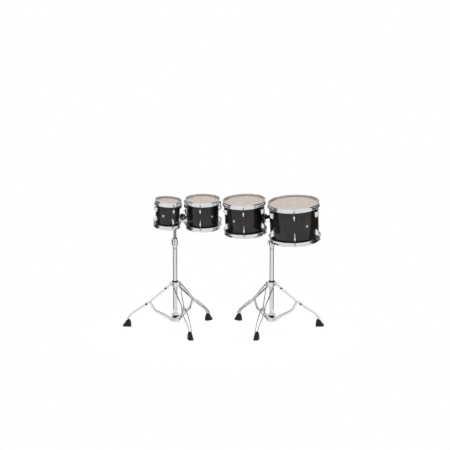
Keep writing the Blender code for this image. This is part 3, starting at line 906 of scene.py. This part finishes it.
    def build_rods(self, end: End) -> None:
        """The tension rods: a square key head on a round washer, and a threaded shank."""
        low = self.lug_top + 0.0006
        seat = self.half - 0.0112
        r = self.tension_rod_radius
        profile = [(0.0, low - 0.004), (r - 0.0004, low - 0.004), (r, low)]
        turns = int((seat - low - 0.006) / self.thread_pitch)
        for k in range(turns):
            at = low + self.thread_pitch * k
            profile += [(r, at + 0.0002), (r - 0.0004, at + self.thread_pitch / 2)]
        profile += [(r, seat - 0.0055), (r, seat), (0.0050, seat), (0.0052, seat + 0.0006)]
        profile += [(0.0050, seat + 0.0014), (0.0047, seat + 0.0018), (0.0045, seat + 0.0030)]
        profile += [(0.0040, seat + 0.0040), (0.0, seat + 0.0040)]
        rod = Form().turn(profile, 16, closed=False)
        rod.box((0.0029, 0.0029, 0.0042), (0, 0, seat + 0.0074), 0.0006)
        rods = Form()
        for angle in self.angles():
            out = Matrix.Translation((self.radius + self.rod_circle, 0, 0))
            rods.add(rod, Matrix.Diagonal((1, 1, end.value, 1)) @ Matrix.Rotation(angle, 4, "Z") @ out)
        rod.bm.free()
        # The rods' darker steel paints their shade and dark reflection.
        self.finished(rods, f"{end.label}_tension_rods", PALETTE.thread())

    def build_bracket(self) -> None:
        """The cast bracket with its plate, neck, boss and clamp screw."""
        low, height, plate = self.bracket_rise, self.bracket_height, self.standoff - 0.0003
        middle = low + height / 2
        form = Form()
        form.box((0.0022, 0.0150, height / 2), (plate - 0.0022, 0, middle), 0.0018)
        form.box((plate * 0.36, 0.0078, height / 2 - 0.003), (plate * 0.60, 0, middle), 0.0022)
        bore, outer, edge = self.rod_radius + 0.0003, self.boss_radius, 0.0012
        top = low + height
        half_boss = [(bore, low), (outer - edge, low), (outer, low + edge)]
        boss = Form().turn(half_boss + [(outer, top - edge), (outer - edge, top), (bore, top)], 48)
        form.add(boss, Matrix())
        boss.bm.free()
        bolt = WingBolt(0.0030).form()
        back = Matrix.Translation((-outer + 0.0008, 0, middle)) @ Matrix.Rotation(math.pi, 4, "Z")
        form.add(bolt, back @ Matrix.Rotation(math.pi / 2, 4, "X"))
        bolt.bm.free()
        place = self.at_ball @ Matrix.Translation((self.rod_reach, 0, 0))
        piece = form.moved(place).piece(f"{self.name}_mount", PALETTE.chrome())
        publish(piece, self.name, "chrome", f"{self.name}_bracket")

    def build_rod(self) -> None:
        """The ball and the L-shaped rod that leaves it."""
        x, z = Vector((1, 0, 0)), Vector((0, 0, 1))
        r, back, steps = self.rod_radius, math.pi - 0.12, 14
        neck = math.asin(r / self.ball_radius)
        stations: list[Matrix] = []
        for k in range(steps + 1):
            angle = back - (back - neck) * k / steps
            size = self.ball_radius * math.sin(angle)
            stations.append(station(x * self.ball_radius * math.cos(angle), x, z, size, size))
        centre = Vector((self.rod_reach - self.rod_bend, 0, self.rod_bend))
        for k in range(9):
            angle = math.pi / 2 * k / 8
            out = Vector((math.sin(angle), 0, -math.cos(angle)))
            along = Vector((math.cos(angle), 0, math.sin(angle)))
            stations.append(station(centre + self.rod_bend * out, along, -out, r, r))
        top = self.bracket_rise + self.bracket_height + self.rod_above_bracket
        for height, size in ((top - 0.0008, r), (top, r - 0.0008)):
            stations.append(station(Vector((self.rod_reach, 0, height)), z, -x, size, size))
        form = Form().sweep(ring_section(24), stations).moved(self.at_ball)
        piece = form.piece(f"{self.name}_rod", PALETTE.chrome())
        publish(piece, f"{self.name}_arm_body", "chrome", f"{self.name}_arm")


# Stands


@dataclass
class Stand:
    """One double-braced stand: tubes, hubs, legs, braces, boots, clamps and wing bolts."""

    side: Side
    drums: tuple[Drum, Drum]
    azimuths: tuple[float, ...] = (169.0, 289.0, 49.0)
    names: tuple[str, ...] = ("outer", "front", "rear")
    bolt_azimuth: float = 229.0
    base_radius: float = 0.014
    base_wall: float = 0.0016
    base_bottom: float = 0.046
    clamp_bottom: float = 0.545
    clamp_height: float = 0.045
    clamp_radius: float = 0.0185
    mast_radius: float = 0.0095
    mast_wall: float = 0.0015
    mast_bottom: float = 0.350
    mast_top: float = 0.742
    collar_radius: float = 0.0160
    collar_height: float = 0.014
    pivot_radius: float = 0.026
    lobe_reach: float = 0.034
    upper_pivot: float = 0.296
    lower_pivot: float = 0.062
    lobe_height: float = 0.028
    upper_half_width: float = 0.0196
    lower_half_width: float = 0.0160
    hub_core_radius: float = 0.0235
    hub_collar_radius: float = 0.0205
    hub_collar_height: float = 0.028
    ring_height: float = 0.008
    joint_radius: float = 0.169
    joint_height: float = 0.172
    knee_radius: float = 0.297
    knee_height: float = 0.083
    toe_radius: float = 0.327
    toe_height: float = 0.046
    strip_width: float = 0.012
    strip_thickness: float = 0.0026
    leg_thickness: float = 0.0036
    clip_half: float = 0.0060
    clip_cover: Point = (0.0007, 0.0008)
    joint_half_gap: float = 0.0058
    bow_half_gap: float = 0.0125
    toe_half_gap: float = 0.0070
    brace_joint_half_gap: float = 0.0028
    brace_bend: Point = (0.150, 0.134)
    brace_elbow: Point = (0.134, 0.113)
    clip_radii: dict[str, Point] = field(
        default_factory=lambda: {"outer": (0.056, 0.190), "front": (0.182,), "rear": (0.072, 0.190)}
    )
    boot_heel: float = 0.300
    boot_toe: float = 0.353
    boot_half_width: float = 0.0150
    boot_height: float = 0.050
    boot_section: tuple[Point, ...] = (
        (1.0, 0.0), (1.0, 0.20), (0.95, 0.45), (0.86, 0.68), (0.72, 0.86), (0.52, 0.96), (0.28, 1.0),
    )
    ball_offset: float = 0.049
    ball_height: float = 0.735
    ball_radius: float = 0.013
    socket_radius: float = 0.0205
    socket_half: float = 0.011
    head_bottom: float = 0.700
    head_top: float = 0.748
    head_radius: float = 0.0165
    crossbar_half: Point = (0.010, 0.011)
    gap: float = 0.0003

    def __post_init__(self) -> None:
        """Finds the stand's axis from the CAD tube."""
        low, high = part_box(f"{self.side.label}_upper_tube")
        self.place = Matrix.Translation(((low[0] + high[0]) / 2, (low[1] + high[1]) / 2, 0.0))
        self.label = self.side.label
        self.clamp_top = self.clamp_bottom + self.clamp_height

    def about(self, azimuth: float) -> Matrix:
        """The axes of a piece at an azimuth of the left stand, mirrored on the right one."""
        turned = azimuth if self.side is Side.LEFT else 180.0 - azimuth
        return self.place @ Matrix.Rotation(math.radians(turned), 4, "Z")

    def build(self) -> None:
        """Builds and dresses every piece."""
        self.build_base_tube()
        self.build_clamp_marks()
        self.build_upper_tube()
        for level in Level:
            self.build_hub(level)
        self.build_bolts()
        self.build_holder()
        for name, azimuth in zip(self.names, self.azimuths):
            place = self.about(azimuth)
            self.build_leg(name, place)
            self.build_clips(name, place)
            self.build_brace(name, place)
            self.build_boot(name, place)

    def build_base_tube(self) -> None:
        """The lower tube and the clamp casting on its top end."""
        inner = self.base_radius - self.base_wall
        guide = self.mast_radius + 0.0003
        r, c = self.base_radius, self.clamp_radius
        b, t = self.clamp_bottom, self.clamp_top
        profile = [(inner, self.base_bottom), (r, self.base_bottom), (r, b), (c - 0.0012, b + 0.0015)]
        profile += [(c, b + 0.0040), (c, t - 0.0022), (c - 0.0022, t), (guide, t)]
        profile += [(guide, b + 0.006), (inner, b + 0.002)]
        tube = Form().turn(profile, 64)
        for x in (-0.00625, 0.00625):
            tube.box((0.0047, 0.0100, 0.0120), (x, c + 0.0060, (b + t) / 2), 0.0018)
        piece = tube.moved(self.place).piece(f"{self.label}_lower_tube", PALETTE.chrome())
        publish(piece, "stands", "chrome", f"{self.label}_base_tube")

    def build_clamp_marks(self) -> None:
        """Thin black cards painted as the shade in the slots of the clamp's face and the tube below it, and
        the bolt's far nut.
        """
        c, middle = self.clamp_radius, (self.clamp_bottom + self.clamp_top) / 2
        shade_cards_and_nut = Form()
        # Painted shade: black cards laid on the surface where the slots' dark insides would be.
        for height, half in ((middle + 0.0100, 0.0068), (middle - 0.0095, 0.0050)):
            shade_cards_and_nut.box((0.0028, 0.0008, half), (0, -c + 0.0003, height), 0.0005)
        below = (0, -self.base_radius + 0.0003, self.clamp_bottom - 0.016)
        shade_cards_and_nut.box((0.0022, 0.0008, 0.0070), below, 0.0005)
        turn = Matrix.Translation((0.0110, c + 0.0090, middle)) @ Matrix.Rotation(math.pi / 2, 4, "Y")
        profile = [(0.0, 0.0), (0.0066, 0.0), (0.0066, 0.0036), (0.0056, 0.0050), (0.0, 0.0050)]
        nut = Form().turn(profile, 6, closed=False)
        shade_cards_and_nut.add(nut, turn)
        nut.bm.free()
        piece = shade_cards_and_nut.moved(self.place).piece(f"{self.label}_clamp_marks", PALETTE.nylon())
        publish(piece, "stands", "black_nylon")

    def build_upper_tube(self) -> None:
        """The sliding tube, with the cone of its memory collar that rests on the clamp."""
        r, c = self.mast_radius, self.collar_radius
        inner = r - self.mast_wall
        low, top = self.mast_bottom, self.mast_top
        tube = Form().turn([(inner, low), (r, low), (r, top), (inner, top)], 48)
        piece = tube.moved(self.place).piece(f"{self.label}_mast", PALETTE.satin())
        publish(piece, f"{self.label}_holder", "chrome", f"{self.label}_upper_tube")
        seat = self.clamp_top + self.gap
        high = seat + self.collar_height
        profile = [(r + 0.0002, seat), (c - 0.0008, seat), (c, seat + 0.0010), (c, seat + 0.0034)]
        profile += [(r + 0.0012, high - 0.0012), (r + 0.0006, high), (r + 0.0002, high)]
        collar = Form().turn(profile, 48).moved(self.place)
        cone = collar.piece(f"{self.label}_memory_collar", PALETTE.satin())
        publish(cone, f"{self.label}_holder", "chrome")

    def build_hub(self, level: Level) -> None:
        """A hub casting with three lobes and its black nylon ring, the lower hub with its collar too.

        Args:
            level: which hub.
        """
        upper = level is Level.UPPER
        pivot = self.upper_pivot if upper else self.lower_pivot
        half_width = self.upper_half_width if upper else self.lower_half_width
        body = f"{self.label}_hub" if upper else "stands"
        name = f"{self.label}_{level.value}_hub"
        bore, core, edge = self.base_radius + 0.0004, self.hub_core_radius, 0.0015
        low, high = pivot - self.lobe_height / 2, pivot + self.lobe_height / 2
        ring_top = high + (self.ring_height if upper else self.hub_collar_height / 2)
        profile = [(bore, low), (core - edge, low), (core, low + edge), (core, high - edge)]
        hub = Form().turn(profile + [(core - edge, high), (bore, high)], 64)
        start = bore + 0.0006
        reach = (self.lobe_reach - start) / 2
        for k in range(3):
            turn = Matrix.Rotation(math.tau * k / 3, 4, "Z")
            half = (reach, half_width, self.lobe_height / 2)
            hub.box(half, (start + reach, 0, pivot), 0.0030, turn)
        c = self.hub_collar_radius
        if not upper:
            top = high + self.hub_collar_height
            collar = [(bore, ring_top), (c - 0.0010, ring_top), (c, ring_top + 0.0010), (c, top - edge)]
            hub_collar = Form().turn(collar + [(c - edge, top), (bore, top)], 64)
            hub.add(hub_collar, Matrix())
            hub_collar.bm.free()
        place = self.about(self.azimuths[0])
        publish(hub.moved(place).piece(f"{name}_casting", PALETTE.chrome()), body, "chrome", name)
        ring = [(bore, high + self.gap), (c - 0.0004, high + self.gap), (c, high + 0.0010)]
        ring += [(c, ring_top - 0.0012), (c - 0.0012, ring_top - self.gap), (bore, ring_top - self.gap)]
        sleeve = Form().turn(ring, 64).moved(place)
        publish(sleeve.piece(f"{name}_ring", PALETTE.nylon()), body, "black_nylon")

    def build_bolts(self) -> None:
        """The hub's and the height clamp's wing bolts."""
        height = self.lower_pivot + self.lobe_height / 2 + self.hub_collar_height / 2
        outward = Matrix.Translation((self.hub_collar_radius + self.gap, 0, height))
        at_hub = self.about(self.bolt_azimuth) @ outward
        middle = (self.clamp_bottom + self.clamp_top) / 2
        beside = Matrix.Translation((-0.011 - self.gap, self.clamp_radius + 0.009, middle))
        at_clamp = self.place @ beside @ Matrix.Rotation(math.pi, 4, "Z")
        for part, place, shank in (("hub", at_hub, 0.004), ("clamp", at_clamp, 0.003)):
            form = WingBolt(shank).form().moved(place)
            piece = form.piece(f"{self.label}_{part}_wing_bolt", PALETTE.chrome())
            publish(piece, f"{self.label}_{part}_wing", "chrome", f"{self.label}_{part}_bolt")

    def build_holder(self) -> None:
        """The cap with its crossbar and two ball sockets, and the bolts that clamp them."""
        r, low, top = self.head_radius, self.head_bottom, self.head_top
        bore = self.mast_radius + 0.0003
        profile = [(0.0, top), (r - 0.0030, top), (r - 0.0009, top - 0.0009), (r, top - 0.0030)]
        profile += [(r, low + 0.0014), (r - 0.0014, low), (bore, low), (bore, self.mast_top + self.gap)]
        head = Form().turn(profile + [(0.0, self.mast_top + self.gap)], 48, closed=False)
        inside, outside = self.mast_radius + 0.003, self.ball_offset - self.socket_radius * 0.86
        half = ((outside - inside) / 2, *self.crossbar_half)
        narrow, wide, s = self.ball_radius * 0.90, self.socket_radius, self.socket_half
        ring = [(narrow, s), (wide - 0.0022, s), (wide - 0.0006, s - 0.0006), (wide, s - 0.0022)]
        hollow = [(self.ball_radius + 0.0010, -0.004), (self.ball_radius + 0.0010, 0.004)]
        socket = Form().turn(ring + [(x, -z) for x, z in reversed(ring)] + hollow, 48)
        screws, bolt = Form(), WingBolt(0.0040).form()
        down = Matrix.Rotation(math.pi / 2, 4, "Y")
        unplaced = self.place.inverted()
        for sign, drum in zip((-1, 1), self.drums):
            head.box(half, (sign * (inside + half[0]), 0, self.ball_height), 0.0030)
            at = unplaced @ drum.at_ball
            head.add(socket, at @ down)
            screws.add(bolt, at @ Matrix.Translation((0, 0, -wide + 0.0010)) @ down)
        back = Matrix.Translation((0, r - 0.0008, low + 0.014)) @ Matrix.Rotation(math.pi / 2, 4, "Z")
        screws.add(bolt, back)
        for form in (socket, bolt):
            form.bm.free()
        piece = head.moved(self.place).piece(f"{self.label}_ball_clamps", PALETTE.nylon())
        publish(piece, f"{self.label}_holder", "black_nylon", f"{self.label}_holder_head")
        wings = screws.moved(self.place).piece(f"{self.label}_ball_clamp_bolts", PALETTE.chrome())
        publish(wings, f"{self.label}_holder", "chrome")

    def strip(self, points: Sequence[tuple[float, float, float]], thickness: float) -> Form:
        """Two flat strips side by side.

        Args:
            points: distance, height and half gap along the strip, from the hub outwards.
            thickness: how thick each strip is.

        Returns:
            The form.
        """
        half = thickness / 2
        path = smooth_path([Vector((r, gap + half, z)) for r, z, gap in points], 6)
        form = Form()
        section = rounded_section(half, self.strip_width / 2, half * 0.85)
        for sign in (1, -1):
            side = [Vector((p.x, sign * p.y, p.z)) for p in path]
            stations = []
            for k, point in enumerate(side):
                along = (side[min(k + 1, len(side) - 1)] - side[max(k - 1, 0)]).normalized()
                flat = Vector((along.x, 0, along.z)).normalized()
                stations.append(station(point, along, Vector((-flat.z, 0, flat.x))))
            form.sweep(section, stations)
        return form.mark_edges()

    def add_rivets(self, form: Form, spots: Iterable[tuple[float, float, float]], radius: float) -> None:
        """Adds a domed rivet head on both outer faces at each spot.

        Args:
            form: the form to add to.
            spots: distance, height and half distance between the outer faces.
            radius: the rivet heads' radius.
        """
        dome = [(0.0, 0.0020), (radius * 0.58, 0.0016), (radius * 0.95, 0.0004), (radius, 0.0), (0.0, 0.0)]
        rivet = Form().turn(dome, 20, closed=False)
        for r, z, out in spots:
            for sign in (1, -1):
                turn = Matrix.Rotation(-sign * math.pi / 2, 4, "X")
                form.add(rivet, Matrix.Translation((r, sign * out, z)) @ turn)
        rivet.bm.free()

    def leg_points(self) -> list[tuple[float, float, float]]:
        """Distance, height and half gap of a leg, from the hub to the toe."""
        hub = Vector((self.pivot_radius, self.upper_pivot))
        joint = Vector((self.joint_radius, self.joint_height))
        knee = Vector((self.knee_radius, self.knee_height))
        toe = Vector((self.toe_radius, self.toe_height))
        slope, run = (joint - hub).normalized(), (joint - hub).length
        start = self.upper_half_width + self.gap
        halfway = (start + self.joint_half_gap) / 2 + 0.0008
        found = []
        for distance, gap in (
            (-0.006, start),
            (0.010, start),
            (0.024, start),
            (run * 0.5, halfway),
            (run - 0.018, self.joint_half_gap),
            (run + 0.006, self.joint_half_gap),
        ):
            found.append((*(hub + slope * distance), gap))
        for share in (0.22, 0.60):
            found.append((*joint.lerp(knee, share), self.bow_half_gap))
        found.append((*knee, self.toe_half_gap))
        found.append((*(toe - (toe - knee).normalized() * 0.004), self.toe_half_gap))
        return found

    def build_leg(self, name: str, place: Matrix) -> None:
        """One leg with its hub and joint rivets."""
        body = f"{self.label}_{name}_leg"
        form = self.strip(self.leg_points(), self.leg_thickness)
        at_hub = self.upper_half_width + self.gap + self.leg_thickness
        at_joint = self.joint_half_gap + self.leg_thickness
        spots = (
            (self.pivot_radius, self.upper_pivot, at_hub),
            (self.joint_radius, self.joint_height, at_joint),
        )
        self.add_rivets(form, spots, 0.0048)
        # The strip edges take the darker metal that paints their dark reflection.
        piece = form.moved(place).piece(f"{body}_strips", PALETTE.chrome(), 60, PALETTE.sheared())
        publish(piece, body, "chrome", f"{self.label}_leg_{name}")

    def build_clips(self, name: str, place: Matrix) -> None:
        """The clips on both strips of a leg, thin enough inside to let the brace fold past."""
        body = f"{self.label}_{name}_leg"
        path = smooth_path([Vector(p) for p in self.leg_points()], 6)
        form = Form()
        for radius in self.clip_radii[name]:
            k = min(range(1, len(path) - 1), key=lambda i: abs(path[i].x - radius))
            here, along = path[k], (path[k + 1] - path[k - 1])
            slope = Vector((along.x, 0, along.y)).normalized()
            spot = station(Vector((here.x, 0, here.y)), slope, Vector((0, 0, 1)))
            beside, above = self.clip_cover
            half = (self.clip_half, self.leg_thickness / 2 + beside, self.strip_width / 2 + above)
            for sign in (1, -1):
                form.box(half, (0, sign * (here.z + self.leg_thickness / 2), 0), 0.0012, spot)
        finish = PALETTE.chrome() if name == "rear" else PALETTE.nylon()
        piece = form.moved(place).piece(f"{body}_clips", finish)
        publish(piece, body, "black_nylon")

    def build_brace(self, name: str, place: Matrix) -> None:
        """One brace with its hub rivets."""
        body = f"{self.label}_{name}_brace"
        hub, elbow = Vector((self.pivot_radius, self.lower_pivot)), Vector(self.brace_elbow)
        unit = (elbow - hub).normalized()
        start, end = self.lower_half_width + self.gap, self.brace_joint_half_gap
        points = [
            (*(hub - unit * 0.006), start),
            (*(hub + unit * 0.008), start),
            (*(hub + unit * 0.022), start),
            (*hub.lerp(elbow, 0.62), (start + end) / 2),
            (*elbow, end + 0.0022),
            (*self.brace_bend, end),
            (self.joint_radius, self.joint_height, end),
        ]
        form = self.strip(points, self.strip_thickness)
        self.add_rivets(form, ((hub.x, hub.y, start + self.strip_thickness),), 0.0044)
        # The strip edges take the darker metal that paints their dark reflection.
        piece = form.moved(place).piece(f"{body}_strips", PALETTE.chrome(), 60, PALETTE.sheared())
        publish(piece, body, "chrome", f"{self.label}_brace_{name}")

    def build_boot(self, name: str, place: Matrix) -> None:
        """The rubber boot: a tall round heel that falls away to a low toe."""
        half = self.boot_half_width
        right = [(half * wide, tall) for wide, tall in self.boot_section]
        section = right + [(-y, z) for y, z in reversed(right)]
        heel, toe, height = self.boot_heel, self.boot_toe, self.boot_height
        rows = (
            (heel, 0.34, 0.78),
            (heel + 0.0008, 0.50, 0.85),
            (heel + 0.0025, 0.70, 0.92),
            (heel + 0.0055, 0.88, 0.97),
            (heel + 0.0100, 0.985, 1.0),
            (heel + 0.0150, 1.00, 1.0),
            (heel + 0.0210, 0.97, 1.0),
            ((heel + toe) / 2 + 0.004, 0.83, 1.0),
            (toe - 0.014, 0.55, 1.0),
            (toe - 0.006, 0.37, 0.95),
            (toe - 0.0022, 0.29, 0.84),
            (toe - 0.0006, 0.23, 0.70),
            (toe, 0.17, 0.56),
        )
        along, up = Vector((1, 0, 0)), Vector((0, 0, 1))
        frames = [station(Vector((r, 0, 0)), along, up, wide, tall * height) for r, tall, wide in rows]
        boot = Form().sweep(section, frames).moved(place)
        piece = boot.piece(f"{self.label}_{name}_boot", PALETTE.rubber(), 55)
        publish(piece, f"{self.label}_{name}_leg", "rubber", f"{self.label}_foot_{name}")


# Studio


@dataclass
class Studio:
    """A white studio: a small floor, a soft room with dark side walls, a lamp and the camera.

    walls gives greys by the turn away from the front, as a share of half a turn, and ceiling
    gives greys by height, from 0 straight down to 1 straight up.
    """

    camera_place: tuple[float, float, float] = (0.01015, -7.5, 1.7899)
    pitch: float = 8.311
    focal_pixels: float = 1190.03
    frame_pixels: float = 450.0
    sensor: float = 36.0
    floor_radius: float = 0.9
    floor_glow: float = 0.94
    walls: tuple[Point, ...] = ((0.0, 1.0), (0.43, 1.0), (0.47, 0.03), (0.83, 0.03), (0.87, 1.0), (1.0, 1.0))
    ceiling: tuple[Point, ...] = ((0.0, 1.0), (0.15, 1.0), (0.21, 0.0), (0.67, 0.0), (0.75, 1.0), (1.0, 1.0))
    lamp_place: tuple[float, float, float] = (-1.4, -3.2, 3.4)
    lamp_size: float = 2.2
    lamp_power: float = 14.0

    def build(self) -> None:
        """Builds the floor, the world, the lamp and the camera."""
        scene = bpy.context.scene
        scene.view_settings.view_transform = "Standard"
        self.build_camera(scene)
        self.build_floor()
        self.build_world(scene)
        self.build_lamp(scene)

    def build_camera(self, scene: bpy.types.Scene) -> None:
        """The camera, level across and pitched down a little."""
        data = bpy.data.cameras.new("camera")
        data.sensor_width = self.sensor
        data.lens = self.focal_pixels * self.sensor / self.frame_pixels
        data.clip_end = 60.0
        camera = bpy.data.objects.new("camera", data)
        camera.location = self.camera_place
        camera.rotation_euler = (math.radians(90.0 - self.pitch), 0.0, 0.0)
        scene.collection.objects.link(camera)
        scene.camera = camera

    def build_floor(self) -> None:
        """A plain white floor that keeps a faint shadow."""
        form = Form()
        bmesh.ops.create_circle(form.bm, cap_ends=True, segments=128, radius=self.floor_radius)
        bmesh.ops.translate(form.bm, vec=(0, 0, -0.0005), verts=form.bm.verts)
        nodes = Nodes("studio_floor")
        nodes.set(Base_Color=(0.88, 0.88, 0.88, 1.0), Roughness=0.9)
        glow = nodes.add("ShaderNodeEmission", Color=(1.0, 1.0, 1.0, 1.0), Strength=1.02)
        seen = nodes.math("MULTIPLY", nodes.seen_rays(), self.floor_glow)
        mix = nodes.add("ShaderNodeMixShader")
        nodes.link(seen, mix.inputs["Fac"])
        nodes.link(nodes.shader.outputs["BSDF"], mix.inputs[1])
        nodes.link(glow.outputs["Emission"], mix.inputs[2])
        nodes.link(mix.outputs["Shader"], nodes.tree.nodes["Material Output"].inputs["Surface"])
        form.piece("floor", nodes.material)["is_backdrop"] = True

    def build_world(self, scene: bpy.types.Scene) -> None:
        """White to the camera; for light and mirrors a white room with a dark wall at each side."""
        world = bpy.data.worlds.new("studio")
        world.use_nodes = True
        scene.world = world
        world.node_tree.nodes.clear()
        room = Tree(world.node_tree)
        parts = room.add("ShaderNodeSeparateXYZ")
        room.link(room.add("ShaderNodeTexCoord").outputs["Generated"], parts.inputs["Vector"])
        x, y, z = parts.outputs
        turn = room.math("ABSOLUTE", room.math("ARCTAN2", x, room.math("MULTIPLY", y, -1.0)), 0.0)
        height = room.math("MULTIPLY", room.math("ADD", z, 1.0), 0.5)
        around, above = (
            room.ramp(source, [(at, (grey, grey, grey)) for at, grey in stops])
            for source, stops in (
                (room.math("DIVIDE", turn, math.pi), self.walls),
                (height, self.ceiling),
            )
        )
        lit = room.add("ShaderNodeBackground")
        room.link(room.math("MAXIMUM", around, above), lit.inputs["Color"])
        white = room.add("ShaderNodeBackground", Color=(1.0, 1.0, 1.0, 1.0))
        mix = room.add("ShaderNodeMixShader")
        camera_rays = room.add("ShaderNodeLightPath").outputs["Is Camera Ray"]
        room.link(camera_rays, mix.inputs["Fac"])
        room.link(lit.outputs["Background"], mix.inputs[1])
        room.link(white.outputs["Background"], mix.inputs[2])
        surface = room.add("ShaderNodeOutputWorld").inputs["Surface"]
        room.link(mix.outputs["Shader"], surface)

    def build_lamp(self, scene: bpy.types.Scene) -> None:
        """A large soft lamp over the front."""
        data = bpy.data.lights.new("key", "AREA")
        data.size = self.lamp_size
        data.energy = self.lamp_power
        lamp = bpy.data.objects.new("key", data)
        lamp.location = self.lamp_place
        aim = Vector((0.0, 0.0, 0.6)) - Vector(self.lamp_place)
        lamp.rotation_euler = aim.to_track_quat("-Z", "Y").to_euler()
        scene.collection.objects.link(lamp)


def main() -> None:
    """Builds the set and its studio."""
    logging.basicConfig(level=logging.INFO, format="%(name)s: %(message)s")
    drums = (
        Drum("tom_6", 0.0762, 0.152, 0.008, 0.133, 3.5, 4, 27.0, 0.032, 0.036, -19.0),
        Drum("tom_8", 0.1016, 0.165, 0.133, 0.135, 0.0, 4, -7.0, 0.034, 0.036, 38.0),
        Drum("tom_10", 0.1270, 0.190, -0.128, 0.133, -2.5, 6, -4.0, 0.038, 0.036, -34.0),
        Drum("tom_12", 0.1524, 0.216, 0.079, 0.134, -3.0, 6, -3.0, 0.042, 0.090, 28.0),
    )
    for drum in drums:
        drum.build()
    for side, pair in zip(Side, (drums[:2], drums[2:])):
        Stand(side, pair).build()
    Studio().build()
    sizes = {"cad": CAD_BOX, "visual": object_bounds()}
    {k: [[float(x) for x in corner] for corner in v] for k, v in sizes.items()}


if __name__ == "__main__":
    main()
